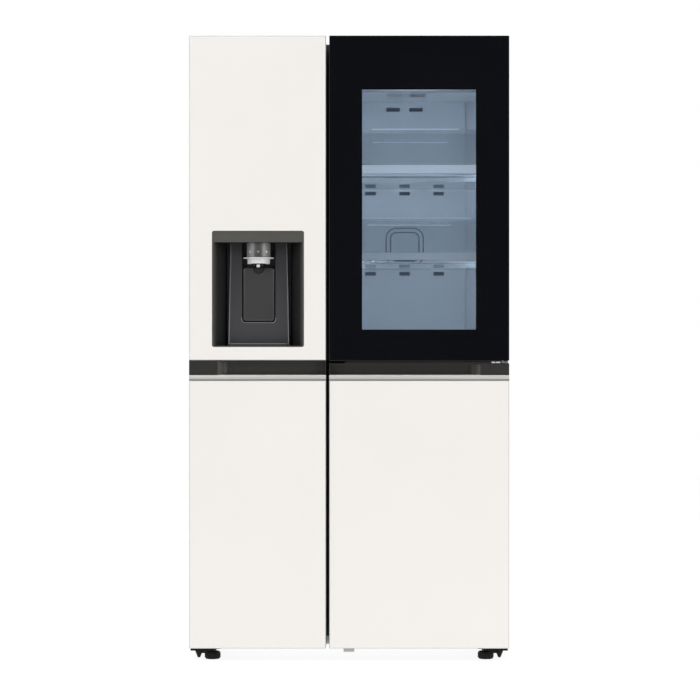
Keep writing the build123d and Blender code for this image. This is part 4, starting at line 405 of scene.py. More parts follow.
# Glass: linear tints, the darker share of a tint, and its faint waves
GLASS_TINTS = {"clear_glass": (0.74, 0.80, 0.87), "shelf_glass": (0.90, 0.95, 0.95)}
GLASS_SHADE = 0.99
GLASS = dict(
    blotch=0.2, rough=(0.0, 0.01), spot=30 * MM, grain=0.2, depth=0.0008 * MM, grain_detail=1.0,
    Transmission_Weight=1.0, IOR=1.45)

# Opacity of clear mouldings seen straight on and at a glancing angle, and how it goes over
CLEAR_OPACITY = {"bin_plastic": (0.10, 0.75), "shelf_trim": (0.14, 0.6)}
GLANCING_BLEND = 0.35

# CAD nodes that don't have the finish of their slot; the mullion cover's dark paint is partly its own colour
# and partly painted shade in the gap between the doors
OTHER_FINISH = {"dispenser_paddle": "paddle_back", "mullion_cover": "door_body"}

DOOR_FRONT = CAD_BOX[0][1]
DISPENSER_MIDDLE = sum(corner.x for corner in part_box("dispenser_spout")) / 2


def screen(red, green, blue):
    """Linear colour of a screen colour given from 0 to 255."""
    return tuple(
        ((part / SCREEN_WHITE + SCREEN_OFFSET) / (1 + SCREEN_OFFSET)) ** SCREEN_POWER
        if part > SCREEN_STRAIGHT else part / SCREEN_WHITE / SCREEN_SLOPE
        for part in (red, green, blue))


def grown(span, amount):
    """A span made longer by the amount at both ends, or shorter for a negative amount."""
    return (span[0] - amount, span[1] + amount)


def shifted(span, amount):
    """A span moved by the amount."""
    return (amount + span[0], amount + span[1])


# Materials

class Finish:
    """One material, built up round its main shader."""

    def __init__(self, name, **values):
        self.name = name
        self.material = bpy.data.materials.new(name)
        self.material.use_nodes = True
        self.nodes = self.material.node_tree.nodes
        self.links = self.material.node_tree.links
        self.shader = self.nodes["Principled BSDF"]
        self.place = self.nodes.new("ShaderNodeTexCoord").outputs["Object"]
        for label, value in values.items():
            socket = self.shader.inputs[label.replace("_", " ")]
            socket.default_value = (*value, 1.0) if isinstance(value, tuple) else value

    def stretched(self, stretch):
        """Place in the frame, with each axis scaled."""
        node = self.nodes.new("ShaderNodeVectorMath")
        node.operation = "MULTIPLY"
        node.inputs[1].default_value = stretch
        self.links.new(self.place, node.inputs[0])
        return node.outputs["Vector"]

    def noise(self, size, detail=NOISE_DETAIL, stretch=(1, 1, 1)):
        """Cloudy pattern with features about size across."""
        node = self.nodes.new("ShaderNodeTexNoise")
        node.inputs["Scale"].default_value = 1 / size
        node.inputs["Detail"].default_value = detail
        self.links.new(self.stretched(stretch), node.inputs["Vector"])
        return node.outputs[0]

    def cells(self, size, output="Distance"):
        """Cell pattern with cells about size across."""
        node = self.nodes.new("ShaderNodeTexVoronoi")
        node.inputs["Scale"].default_value = 1 / size
        self.links.new(self.place, node.inputs["Vector"])
        return node.outputs[output]

    def ranged(self, value, source, result=(0.0, 1.0)):
        """Value of a source range spread over another range."""
        node = self.nodes.new("ShaderNodeMapRange")
        for ends, span in (("From", source), ("To", result)):
            node.inputs[ends + " Min"].default_value = span[0]
            node.inputs[ends + " Max"].default_value = span[1]
        self.links.new(value, node.inputs["Value"])
        return node.outputs["Result"]

    def go_over(self, share, second):
        """Makes the base colour go over to a second one, and gives the socket of the first."""
        node = self.nodes.new("ShaderNodeMix")
        node.data_type = "RGBA"
        colours = [socket for socket in node.inputs if socket.type == "RGBA"]
        colours[1].default_value = (*second, 1.0)
        self.links.new(share, node.inputs["Factor"])
        result = [socket for socket in node.outputs if socket.type == "RGBA"][0]
        self.links.new(result, self.shader.inputs["Base Color"])
        return colours[0]

    def mottle(self, pattern, first, second):
        """Base colour that goes from one to another with a pattern."""
        self.go_over(self.ranged(pattern, PATTERN_RANGE), second).default_value = (*first, 1.0)

    def shade(self, axis, span, tone):
        """Base colour that goes over to a tone along an axis of the frame."""
        split = self.nodes.new("ShaderNodeSeparateXYZ")
        self.links.new(self.place, split.inputs[0])
        before = self.shader.inputs["Base Color"].links[0].from_socket
        self.links.new(before, self.go_over(self.ranged(split.outputs[axis], span), screen(*tone)))

    def rough(self, pattern, span):
        """Roughness that goes from one end of a span to the other with a pattern."""
        self.links.new(self.ranged(pattern, PATTERN_RANGE, span), self.shader.inputs["Roughness"])

    def bump(self, pattern, depth):
        """Relief of a pattern, depth high."""
        node = self.nodes.new("ShaderNodeBump")
        node.inputs["Distance"].default_value = depth
        normal = self.shader.inputs["Normal"]
        if normal.is_linked:
            self.links.new(normal.links[0].from_socket, node.inputs["Normal"])
        self.links.new(pattern, node.inputs["Height"])
        self.links.new(node.outputs["Normal"], normal)


def surface(name, tones, blotch, rough, spot, grain, depth, blotch_detail=NOISE_DETAIL,
            grain_detail=NOISE_DETAIL, spangles=False, pores=False, **values):
    """Finish with two tones in blotches or spangles, roughness in spots, and a grain or pores."""
    finish = Finish(name, Base_Color=tones[0], Roughness=rough[0], **values)
    finish.mottle(finish.cells(blotch, "Color") if spangles else finish.noise(blotch, blotch_detail), *tones)
    finish.rough(finish.noise(spot), rough)
    finish.bump(finish.cells(grain) if pores else finish.noise(grain, grain_detail), depth)
    return finish


def listed(name):
    """Finish from its row in the list of looks."""
    row = dict(LOOKS[name])
    tones = [screen(*tone) for tone in row.pop("tones")]
    return surface(name, tones, **row)


def glass(name):
    """Clear sheet with a faint waviness."""
    tint = GLASS_TINTS[name]
    return surface(name, (tint, tuple(GLASS_SHADE * part for part in tint)), **GLASS)


def grip():
    """Satin anodised aluminium, brushed along the bar, with painted shade on its rounded underside."""
    first, second = (screen(*tone) for tone in GRIP_TONES)
    finish = Finish("grip", Base_Color=first, Roughness=GRIP_ROUGH[0], Metallic=GRIP_METAL)
    brushed = finish.noise(*GRIP_BRUSH)
    finish.mottle(brushed, first, second)
    finish.shade("Z", shifted(GRIP_SHADE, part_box("fridge_handle_grip")[0].z), GRIP_SHADE_TONE)
    finish.rough(brushed, GRIP_ROUGH)
    finish.bump(brushed, GRIP_BRUSH_DEPTH)
    return finish


def shade_cream(finish):
    """Painted shade on the cream sheets' rounded edges and along the top edge of the upper sheet, and slow
    waves in them.
    """
    finish.shade("Y", shifted(EDGE_SHADE, DOOR_FRONT), EDGE_SHADE_TONE)
    finish.shade("Y", shifted(EDGE_CREAM, DOOR_FRONT), LOOKS["cream_panel"]["tones"][0])
    finish.shade("Z", shifted(TOP_EDGE_SHADE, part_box("freezer_upper_panel")[1].z), TOP_EDGE_SHADE_TONE)
    finish.bump(finish.noise(*CREAM_WAVE), CREAM_WAVE_DEPTH)


def paint_pocket_light(finish):
    """Painted highlight on the end walls of the finger pocket, and a milder painted light deep inside that
    lifts its shaded floor.
    """
    finish.shade("Y", shifted(POCKET_HIGHLIGHT, DOOR_FRONT), POCKET_HIGHLIGHT_TONE)
    finish.shade("Y", shifted(POCKET_DEEP_LIGHT, DOOR_FRONT), POCKET_DEEP_LIGHT_TONE)


def shade_niche(finish):
    """Painted shade that makes the niche almost black deep inside."""
    finish.shade("Y", shifted(NICHE_SHADE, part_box("dispenser_housing")[0].y), NICHE_TONE)


def shade_column(finish):
    """Back of the niche and its beads of painted highlight, darker towards the top with painted shade."""
    low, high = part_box("dispenser_column")
    finish.shade("Z", (low.z, high.z), COLUMN_TOP_SHADE_TONES[finish.name])


def shade_head_reflection_panel(finish):
    """Painted reflection: the head's panel goes from pale at its edges to dark in the middle."""
    left, right = (-PANEL_BLEND[1], -PANEL_BLEND[0]), PANEL_BLEND
    finish.shade("X", shifted(left, DISPENSER_MIDDLE), PANEL_REFLECTION_DARK)
    finish.shade("X", shifted(right, DISPENSER_MIDDLE), PANEL_REFLECTION_PALE)


def shade_ceiling(finish):
    """Painted shade on the front edge of the ceiling cover, where the lamp beside it lights it."""
    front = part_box("fridge_light")[1].y + CEILING_COVER_GAP
    finish.shade("Y", (front + CEILING_COVER_CORNER, front + CEILING_COVER_CORNER / 2), CEILING_EDGE_SHADE_TONE)


def clear_faces(finish):
    """Clear moulding that is whiter at a glancing angle."""
    facing = finish.nodes.new("ShaderNodeLayerWeight")
    facing.inputs["Blend"].default_value = GLANCING_BLEND
    opacity = finish.ranged(facing.outputs["Facing"], (0.0, 1.0), CLEAR_OPACITY[finish.name])
    finish.links.new(opacity, finish.shader.inputs["Alpha"])


def pass_lamp_light(finish):
    """Shelf sheets that let the lamp's light through."""
    lit = finish.nodes.new("ShaderNodeMath")
    lit.operation = "SUBTRACT"
    lit.inputs[0].default_value = 1.0
    finish.links.new(finish.nodes.new("ShaderNodeLightPath").outputs["Is Shadow Ray"], lit.inputs[1])
    finish.links.new(lit.outputs["Value"], finish.shader.inputs["Alpha"])


EXTRAS = {
    "cream_panel": shade_cream, "handle_trim": paint_pocket_light, "dispenser_dark": shade_niche,
    "dispenser_column": shade_column, "bright_edge": shade_column, "head_panel": shade_head_reflection_panel,
    "ceiling_gloss": shade_ceiling, "bin_plastic": clear_faces, "shelf_trim": clear_faces,
    "shelf_glass": pass_lamp_light}


def make_finishes():
    """Materials of all finishes by name."""
    finishes = {name: listed(name) for name in LOOKS}
    finishes.update((name, glass(name)) for name in GLASS_TINTS)
    finishes["grip"] = grip()
    for name, add in EXTRAS.items():
        add(finishes[name])
    return {name: finish.material for name, finish in finishes.items()}


FINISHES = make_finishes()


def paint_nodes():
    """Gives every CAD node the finish of its slot."""
    for name, node in NODES.items():
        node.data.materials.clear()
        node.data.materials.append(FINISHES[OTHER_FINISH.get(name, SLOT_OF[name])])


# Added pieces

def add_piece(name, mesh, body, slot, finish=None, bevel=0.0):
    """Object of a bmesh that rides on a body, with a finish and softened edges."""
    bmesh.ops.recalc_face_normals(mesh, faces=mesh.faces[:])
    data = bpy.data.meshes.new(name)
    mesh.to_mesh(data)
    mesh.free()
    data.shade_smooth()
    data.set_sharp_from_angle(angle=SMOOTH_ANGLE)
    piece = bpy.data.objects.new(name, data)
    bpy.context.scene.collection.objects.link(piece)
    data.materials.append(FINISHES[finish or slot])
    if bevel:
        modifier = piece.modifiers.new("soft_edges", "BEVEL")
        modifier.width = bevel
        modifier.segments = BEVEL_SEGMENTS
    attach(piece, body)
    return piece


def skin(mesh, loops, closed=False, caps=False):
    """Covers a row of loops with as many corners each, and closes the row or caps its ends."""
    rings = [[mesh.verts.new(corner) for corner in loop] for loop in loops]
    pairs = list(zip(rings, rings[1:]))
    if closed:
        pairs.append((rings[-1], rings[0]))
    for first, second in pairs:
        for index in range(len(first)):
            after = (index + 1) % len(first)
            mesh.faces.new((first[index], first[after], second[after], second[index]))
    if caps:
        mesh.faces.new(rings[0])
        mesh.faces.new(rings[-1])


def add_box(mesh, low, high):
    """Adds a box to a bmesh."""
    skin(mesh, [
        [(low[0], y, low[2]), (high[0], y, low[2]), (high[0], y, high[2]), (low[0], y, high[2])]
        for y in (low[1], high[1])], caps=True)


def arc(middle, radius, start, end, steps=CORNER_STEPS):
    """Points of an arc from one angle to another."""
    angles = [start + (end - start) * step / steps for step in range(steps + 1)]
    return [(middle[0] + radius * math.cos(a), middle[1] + radius * math.sin(a)) for a in angles]


def rounded_outline(x, z, corner):
    """Corners in X and Z of a rounded rectangle."""
    inner_x, inner_z = grown(x, -corner), grown(z, -corner)
    points = []
    for turn, (right, top) in enumerate(((1, 1), (0, 1), (0, 0), (1, 0))):
        points += arc((inner_x[right], inner_z[top]), corner, turn * QUARTER, (turn + 1) * QUARTER)
    return points


def at_depth(outline, y):
    """Corners of an upright outline at one depth."""
    return [(x, y, z) for x, z in outline]


def add_bead(mesh, path, radius, across):
    """Round bead along a path in a plane that the direction across stands on."""
    loops = []
    turns = [2 * math.pi * side / BEAD_SIDES for side in range(BEAD_SIDES)]
    points = [Vector(point) for point in path]
    for index, point in enumerate(points):
        along = (points[min(index + 1, len(points) - 1)] - points[max(index - 1, 0)]).normalized()
        beside = along.cross(Vector(across))
        loops.append([
            point + radius * (math.cos(turn) * beside + math.sin(turn) * Vector(across)) for turn in turns])
    skin(mesh, loops, caps=True)


def window_opening():
    """X and Z spans of the clear part of the window."""
    low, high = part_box("window_mask")
    inner = [
        corner.co for corner in NODES["window_mask"].data.vertices
        if low.x + 2 * PANE_CORNER < corner.co.x < high.x - 2 * PANE_CORNER]
    return tuple(
        (min(corner[axis] for corner in inner), max(corner[axis] for corner in inner)) for axis in (0, 2))


def window_panes():
    """Black border of the front glass, its clear middle and the rear pane."""
    opening_x, opening_z = window_opening()
    low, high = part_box("window_mask")
    front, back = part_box("window_glass")[0].y, high.y
    outer_x, outer_z = (low.x, high.x), (low.z, high.z)
    edge_x, edge_z = grown(outer_x, -PANE_EDGE), grown(outer_z, -PANE_EDGE)
    outer = rounded_outline(outer_x, outer_z, PANE_CORNER)
    polished = rounded_outline(edge_x, edge_z, PANE_CORNER - PANE_EDGE)
    inner = rounded_outline(opening_x, opening_z, PANE_EDGE)
    border = bmesh.new()
    skin(border, [
        at_depth(polished, front), at_depth(outer, front + PANE_EDGE), at_depth(outer, back),
        at_depth(inner, back), at_depth(inner, front)], closed=True)
    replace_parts(add_piece("window_border", border, "window_door", "black_glass"), "window_mask")
    clear = rounded_outline(grown(opening_x, -PANE_GAP), grown(opening_z, -PANE_GAP), PANE_EDGE)
    pane = bmesh.new()
    skin(pane, [at_depth(clear, front), at_depth(clear, front + PANE_THICKNESS)], caps=True)
    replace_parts(add_piece("window_pane", pane, "window_door", "clear_glass"), "window_glass")
    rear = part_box("window_glass")[1].y
    margin = REAR_PANE_MARGIN - PANE_GAP
    sheet = rounded_outline(grown(opening_x, margin), grown(opening_z, margin), PANE_EDGE)
    rear_pane = bmesh.new()
    skin(rear_pane, [at_depth(sheet, rear - PANE_THICKNESS), at_depth(sheet, rear)], caps=True)
    add_piece("window_rear_pane", rear_pane, "window_door", "clear_glass")


def head_place(angle, radius, z):
    """Point beside the round head, at an angle from straight in front."""
    y = DOOR_FRONT + HEAD_BACK
    return (DISPENSER_MIDDLE + radius * math.sin(angle), y - radius * math.cos(angle), z)


def head_shell(mesh, section, start, end):
    """Part of a turned shell round the head's axis, from one angle to another."""
    angles = [start + (end - start) * step / HEAD_STEPS for step in range(HEAD_STEPS + 1)]
    skin(mesh, [
        [head_place(angle, radius, height) for radius, height in section]
        for angle in angles], caps=True)


def head_sleeve():
    """Lacquered flanks of the dispenser's head and the darker panel between them: lit and shaded copies that
    paint the head's reflection.
    """
    z = grown((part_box("dispenser_spout")[1].z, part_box("dispenser_column")[1].z), -SLEEVE_GAP)
    outside = HEAD_RADIUS + SLEEVE
    section = [
        (HEAD_RADIUS, z[0]), (outside - SLEEVE / 2, z[0]), (outside, z[0] + SLEEVE / 2),
        (outside, z[1]), (HEAD_RADIUS, z[1])]
    flanks, panel = bmesh.new(), bmesh.new()
    head_shell(flanks, section, -HEAD_REACH, -PANEL_REACH)
    head_shell(flanks, section, PANEL_REACH, HEAD_REACH)
    head_shell(panel, section, -PANEL_REACH, PANEL_REACH)
    add_piece("dispenser_head_sleeve", flanks, "freezer_door", "dispenser_column", "head_lacquer")
    add_piece("dispenser_head_panel", panel, "freezer_door", "dispenser_column", "head_panel")


def turned(mesh, x, y, z, profile):
    """Round form about an upright axis, from a profile of radii and heights in millimetres."""
    turns = [2 * math.pi * side / ROUND_SIDES for side in range(ROUND_SIDES)]
    skin(mesh, [
        [(x + radius * MM * math.cos(turn), y + radius * MM * math.sin(turn), z + height * MM)
         for turn in turns]
        for radius, height in profile], caps=True)


def outlet():
    """Bright outlet ring with a thin flange, and the water nozzle on its neck with a pin on each side."""
    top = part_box("dispenser_spout")[1].z - FLANGE_DROP
    section = [(radius * MM, top + height * MM) for radius, height in OUTLET_SECTION]
    bottom = min(height for radius, height in section)
    mesh = bmesh.new()
    head_shell(mesh, section, -HEAD_REACH, HEAD_REACH)
    x, y = DISPENSER_MIDDLE, DOOR_FRONT + HEAD_BACK - NOZZLE_BACK
    turned(mesh, x, y, bottom, NOZZLE_PROFILE)
    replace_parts(add_piece("dispenser_outlet", mesh, "freezer_door", "spout"), "dispenser_spout")
    pins = bmesh.new()
    turned(pins, x, y, bottom, NOZZLE_NECK_PROFILE)
    for side in (-NOZZLE_PIN_X, NOZZLE_PIN_X):
        turned(pins, x + side, y, bottom, NOZZLE_PIN_PROFILE)
    add_piece("dispenser_outlet_pins", pins, "freezer_door", "spout", "paddle")


def head_marks():
    """Three small plain marks on the head: a square, a disc and a hexagon, the middle one dim."""
    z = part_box("dispenser_spout")[1].z + MARK_RISE
    outside = HEAD_RADIUS + SLEEVE
    meshes = {"spout": bmesh.new(), "head_lacquer": bmesh.new()}
    for place, sides in MARK_SIDES.items():
        start = math.pi / sides
        outline = arc((0.0, 0.0), MARK_RADIUS, start, 2 * math.pi + start, sides)[:-1]
        skin(meshes["spout" if place else "head_lacquer"], [
            [head_place(place * MARK_TURN + across / outside, outside + height, z + up)
             for across, up in outline]
            for height in (-MARK_HEIGHT, MARK_HEIGHT)], caps=True)
    for finish, mesh in meshes.items():
        add_piece("dispenser_marks_" + finish, mesh, "freezer_door", "grey_plastic", finish)


def column_edge_highlights():
    """Beads of painted highlight down both edges of the column and along the foot of the paddle's slot."""
    low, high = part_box("dispenser_column")
    middle = DISPENSER_MIDDLE
    mesh = bmesh.new()
    for side in (-1, 1):
        foot = middle + side * ((high.x - low.x) / 2 - COLUMN_BEAD_INSET)
        crown = middle + side * (COLUMN_CROWN / 2 - COLUMN_BEAD_INSET)
        y = low.y + COLUMN_BEAD
        add_bead(mesh, [(foot, y, low.z + COLUMN_BEAD_RISE), (crown, y, high.z)], COLUMN_BEAD, (0, 1, 0))
    slot_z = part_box("dispenser_paddle")[0].z - SLOT_GAP
    half = SLOT_WIDTH / 2 + SLOT_BEAD
    bend = SLOT_CORNER + SLOT_BEAD
    bottom = slot_z - SLOT_BEAD
    path = [(middle - half, bottom + SLOT_LIP_RISE)]
    path += arc((middle - half + bend, bottom + bend), bend, -2 * QUARTER, -QUARTER)
    path += arc((middle + half - bend, bottom + bend), bend, -QUARTER, 0.0)
    path.append((middle + half, bottom + SLOT_LIP_RISE))
    add_bead(mesh, at_depth(path, low.y), SLOT_BEAD, (0, 1, 0))
    add_piece("dispenser_column_edges", mesh, "freezer_door", "dispenser_column", "bright_edge")


def paddle_outline(x, z, inset):
    """Outline of the paddle's pad, rounded below and above, with a half round bite in its top."""
    corner = PADDLE_CORNER - inset
    inner_x, inner_z = grown(x, -PADDLE_CORNER), grown(z, -PADDLE_CORNER)
    bite = PADDLE_NOTCH + inset
    lean = math.asin(inset / bite)
    points = arc((inner_x[1], inner_z[0]), corner, -QUARTER, 0.0)
    points += arc((inner_x[1], inner_z[1]), corner, 0.0, QUARTER)
    points += arc((sum(x) / 2, z[1]), bite, -lean, lean - 2 * QUARTER, PADDLE_NOTCH_STEPS)
    points += arc((inner_x[0], inner_z[1]), corner, QUARTER, 2 * QUARTER)
    points += arc((inner_x[0], inner_z[0]), corner, -2 * QUARTER, -QUARTER)
    return points


def paddle_pad():
    """Crowned pad on the front of the paddle."""
    low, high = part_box("dispenser_paddle")
    middle = DISPENSER_MIDDLE
    x = grown((middle - PADDLE_WIDTH / 2, middle + PADDLE_WIDTH / 2), -PAD_MARGIN)
    z = grown((low.z, high.z), -PAD_MARGIN)
    loops = []
    for step in range(PAD_STEPS + 1):
        angle = step / PAD_STEPS * QUARTER
        outline = paddle_outline(x, z, PAD_EDGE * (1 - math.cos(angle)))
        loops.append(at_depth(outline, low.y - PAD_HEIGHT * math.sin(angle)))
    mesh = bmesh.new()
    skin(mesh, loops, caps=True)
    add_piece("dispenser_paddle_pad", mesh, "paddle", "paddle")


def tray_rim_highlight():
    """Bead of painted highlight round the front and the sides of the drip tray."""
    low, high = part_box("drip_tray")
    left, right = low.x + TRAY_BEAD, high.x - TRAY_BEAD
    front = low.y + TRAY_BEAD
    path = [
        (left, high.y - TRAY_CORNER), (left, front + TRAY_CORNER), (left + TRAY_CORNER, front),
        (right - TRAY_CORNER, front), (right, front + TRAY_CORNER), (right, high.y - TRAY_CORNER)]
    mesh = bmesh.new()
    add_bead(mesh, [(x, y, high.z) for x, y in path], TRAY_BEAD, (0, 0, 1))
    add_piece("drip_tray_rim", mesh, "freezer_door", "dispenser_column", "bright_edge")


def handle_lip():
    """Lip of the handle band that stands in the gap under the window door."""
    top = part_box("fridge_handle_channel")[1].z
    y = shifted(LIP_DEPTH, DOOR_FRONT)
    mesh = bmesh.new()
    add_box(mesh, (LIP_X[0], y[0], top), (LIP_X[1], y[1], top + LIP_HEIGHT))
    add_piece("handle_band_lip", mesh, "fridge_door", "door_body", bevel=TRIM_BEVEL)


def hinge_links():
    """Bright links of the window door's lower hinge, seen in the gap under it."""
    y = shifted(LINK_DEPTH, DOOR_FRONT)
    z = shifted(LINK_RISE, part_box("fridge_handle_channel")[1].z)
    for finish, spans in LINK_SPANS.items():
        mesh = bmesh.new()
        for x in spans:
            add_box(mesh, (x[0], y[0], z[0]), (x[1], y[1], z[1]))
        add_piece("window_hinge_links_" + finish, mesh, "fridge_door", "zinc", finish, TRIM_BEVEL)


def hinge_boots():
    """Black aprons with a web on the lower hinge plates, and boots over their pin cones."""
    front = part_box("door_hinges")[0].y
    mesh = bmesh.new()
    edge = [
        (BOOT_X[0], BOOT_Z[1]), (BOOT_X[0], BOOT_Z[0]),
        (BOOT_WEB_X[0], BOOT_Z[0]), (BOOT_WEB_X[0], BOOT_WEB_Z),
        (BOOT_WEB_X[1], BOOT_WEB_Z), (BOOT_WEB_X[1], BOOT_Z[0]),
        (BOOT_X[1], BOOT_Z[0]), (BOOT_X[1], BOOT_Z[1])]
    for side, joint in ((-1, "freezer_door_hinge"), (1, "fridge_door_hinge")):
        outline = [(side * x, z) for x, z in edge]
        skin(mesh, [at_depth(outline, front - BOOT_APRON), at_depth(outline, front)], caps=True)
        turned(mesh, JOINT_PLACES[joint][0], JOINT_PLACES[joint][1], 0.0, BOOT_PROFILE)
    add_piece("lower_hinge_boots", mesh, "cabinet", "black_plastic")


def mullion_cap():
    """Dark cap between the mullion cover and the top of the cabinet, a sheet of painted shade at the top of
    the door gap.
    """
    low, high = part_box("mullion_cover")
    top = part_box("cabinet_shell")[1].z
    mesh = bmesh.new()
    add_box(mesh, (low.x, low.y - MULLION_CAP, high.z), (high.x, low.y, top))
    add_piece("mullion_cap", mesh, "cabinet", "cabinet_paint", "door_body", MULLION_CAP / THIN_BAR_PARTS)


def add_screw(mesh, x, y, z):
    """Pan head screw that faces the back, with a socket."""
    turns = [2 * math.pi * side / SCREW_SIDES for side in range(SCREW_SIDES)]
    skin(mesh, [
        [(x + SCREW_RADIUS * share * math.cos(turn), y + SCREW_RADIUS * height,
          z + SCREW_RADIUS * share * math.sin(turn)) for turn in turns]
        for share, height in SCREW_PROFILE], caps=True)


def spread(span, count):
    """Evenly spaced values from one end of a span to the other."""
    return [span[0] + (span[1] - span[0]) * index / (count - 1) for index in range(count)]


def back_screws():
    """Screws along the edges of the back sheet and of the machine room cover."""
    panel_low, panel_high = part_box("cabinet_back_panel")
    cover_low, cover_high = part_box("machine_room_cover")
    y = cover_high.y
    mesh = bmesh.new()
    for z in spread(grown((panel_low.z, panel_high.z), -SCREW_INSET), BACK_SCREW_ROWS):
        for x in grown((panel_low.x, panel_high.x), -SCREW_INSET):
            add_screw(mesh, x, y, z)
    for x in spread(grown((cover_low.x, cover_high.x), -SCREW_INSET), COVER_SCREW_COLUMNS):
        for z in grown((cover_low.z, cover_high.z), -SCREW_INSET):
            add_screw(mesh, x, y, z)
    add_piece("back_screws", mesh, "cabinet", "zinc")


def louvre_lips():
    """Pressed lip over each louvre slot of the machine room cover."""
    low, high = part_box("machine_room_cover")
    middle = (low.z + high.z) / 2
    mesh = bmesh.new()
    for field in (-LOUVRE_X, LOUVRE_X):
        span_x = (field - LOUVRE_SIZE[0] / 2, field + LOUVRE_SIZE[0] / 2)
        for index in range(LOUVRE_COUNT):
            top = middle + (index - LOUVRE_COUNT / 2) * LOUVRE_PITCH + LOUVRE_SIZE[1]
            section = [
                (high.y, top + LOUVRE_DROP), (high.y + LOUVRE_LIP, top - LOUVRE_DROP),
                (high.y + LOUVRE_LIP - LOUVRE_SHEET, top - LOUVRE_DROP), (high.y, top)]
            skin(mesh, [[(x, y, z) for y, z in section] for x in span_x], caps=True)
    add_piece("louvre_lips", mesh, "cabinet", "galvanised")


def bin_details():
    """Rails of painted highlight on the rims of the bins behind the window, and cloudy feet that glow with
    painted light.
    """
    low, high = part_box("fridge_door_bins")
    meshes = {name: bmesh.new() for name in ("milky_bright", "milky_soft")}
    for name, drop, span, finish in BIN_RIM_HIGHLIGHTS:
        z = OPENINGS[name][1][2] - drop
        add_box(meshes[finish], (span[0], low.y - BIN_RIM, z), (span[1], low.y, z + BIN_RIM))
    for name, rise, finish in BIN_FEET:
        z = OPENINGS[name][0][2]
        x = grown((low.x, high.x), -BIN_RIM)
        add_box(meshes[finish], (x[0], low.y - BIN_RIM, z + rise[0]), (x[1], low.y, z + rise[1]))
    for finish, mesh in meshes.items():
        add_piece("case_bins_" + finish, mesh, "fridge_door", "bin_plastic", finish, BIN_RIM / THIN_BAR_PARTS)


def recess_floors(node, from_depth, to_depth):
    """Faces of a node that look to the front, between two depths behind its front."""
    mesh = bmesh.new()
    mesh.from_mesh(NODES[node].data)
    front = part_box(node)[0].y
    others = [
        face for face in mesh.faces
        if face.normal.y > TO_THE_FRONT
        or not from_depth < face.calc_center_median().y - front < to_depth]
    bmesh.ops.delete(mesh, geom=others, context="FACES")
    bmesh.ops.dissolve_limit(mesh, angle_limit=SAME_PLANE, verts=mesh.verts[:], edges=mesh.edges[:])
    return mesh


def air_vents():
    """Dark sheet of painted shade on the floor of each vent in the duct cover, and the vent's dark slats."""
    floors = recess_floors("fridge_air_duct", *VENT_DEPTHS)
    shade, slats = bmesh.new(), bmesh.new()
    for face in floors.faces:
        low = Vector(min(corner.co[axis] for corner in face.verts) for axis in range(3))
        high = Vector(max(corner.co[axis] for corner in face.verts) for axis in range(3))
        add_box(shade, (low.x, low.y - VENT_SHADE, low.z), (high.x, low.y, high.z))
        pitch = (high.z - low.z) / (VENT_SLATS + 1)
        for index in range(VENT_SLATS):
            z = low.z + (index + 1) * pitch - VENT_SLAT / 2
            add_box(slats, (low.x, low.y - VENT_SLAT_DEPTH, z), (high.x, low.y, z + VENT_SLAT))
    floors.free()
    add_piece("duct_vent_shade", shade, "cabinet", "duct", "vent_dark")
    add_piece("duct_vent_slats", slats, "cabinet", "duct", "vent_dark", VENT_SLAT_EDGE)


def ceiling_cover():
    """Shiny cover between the ceiling lamp and the top of the air duct."""
    lamp_back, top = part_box("fridge_light")[1].yz
    front, back = lamp_back + CEILING_COVER_GAP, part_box("fridge_air_duct")[0].y - CEILING_COVER_PLAY
    low, high = top - CEILING_COVER_DROP, top - CEILING_COVER_PLAY
    corner = CEILING_COVER_CORNER
    profile = [(back, high), (back, low), (front + 2 * corner, low)]
    profile += arc((front + corner, low + corner), corner, -QUARTER, -2 * QUARTER)
    profile.append((front, high))
    space_low, space_high = OPENINGS["fridge_space_top"]
    sides = grown((space_low[0], space_high[0]), -CEILING_COVER_GAP)
    mesh = bmesh.new()
    skin(mesh, [[(x, y, z) for y, z in profile] for x in sides], caps=True)
    add_piece("fridge_ceiling_cover", mesh, "cabinet", "liner", "ceiling_gloss")
    ceiling_outlets_and_reflection(front + CEILING_OUTLET_START, low)


def ceiling_outlets_and_reflection(start, z):
    """Grey bars of two air outlets under the ceiling cover, over the upper vents of the duct, that also paint
    a reflection of those vents in the cover.
    """
    vents = recess_floors("fridge_air_duct", *VENT_DEPTHS)
    top = max(face.calc_center_median().z for face in vents.faces)
    bars = bmesh.new()
    for face in vents.faces:
        if face.calc_center_median().z > top - VENT_ROW:
            x = [corner.co.x for corner in face.verts]
            for index in range(CEILING_OUTLET_BARS):
                y = start + index * CEILING_OUTLET_PITCH
                add_box(bars, (min(x), y, z - CEILING_OUTLET_RISE), (max(x), y + CEILING_OUTLET_BAR, z))
    vents.free()
    bevel = CEILING_OUTLET_RISE / THIN_BAR_PARTS
    add_piece("ceiling_outlet_bars", bars, "cabinet", "duct", "grey_plastic", bevel)


def filter_lines():
    """Dark ring in the joint round the air filter cover, partly a seal and partly painted shade, and a ring
    of painted shade in the groove round its raised face.
    """
    low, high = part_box("air_filter_cover")
    rim = recess_floors("air_filter_cover", *FILTER_RIM_DEPTHS)
    rim_depth = min(point.co.y for point in rim.verts)
    rim.free()
    x, z = (low.x, high.x), (low.z, high.z)
    corner = (high.x - low.x) * FILTER_CORNER
    mesh = bmesh.new()
    for border, back in ((0.0, high.y), (FILTER_BORDER, rim_depth)):
        front = back - FILTER_LINE_HEIGHT
        outer_x, outer_z = grown(x, FILTER_LINE - border), grown(z, FILTER_LINE - border)
        outer = rounded_outline(outer_x, outer_z, corner + FILTER_LINE - border)
        inner = rounded_outline(grown(x, -border), grown(z, -border), corner - border)
        skin(mesh, [
            at_depth(outer, back), at_depth(outer, front), at_depth(inner, front), at_depth(inner, back)],
            closed=True)
    add_piece("air_filter_lines", mesh, "cabinet", "duct", "joint_dark")


# Stage, light and camera

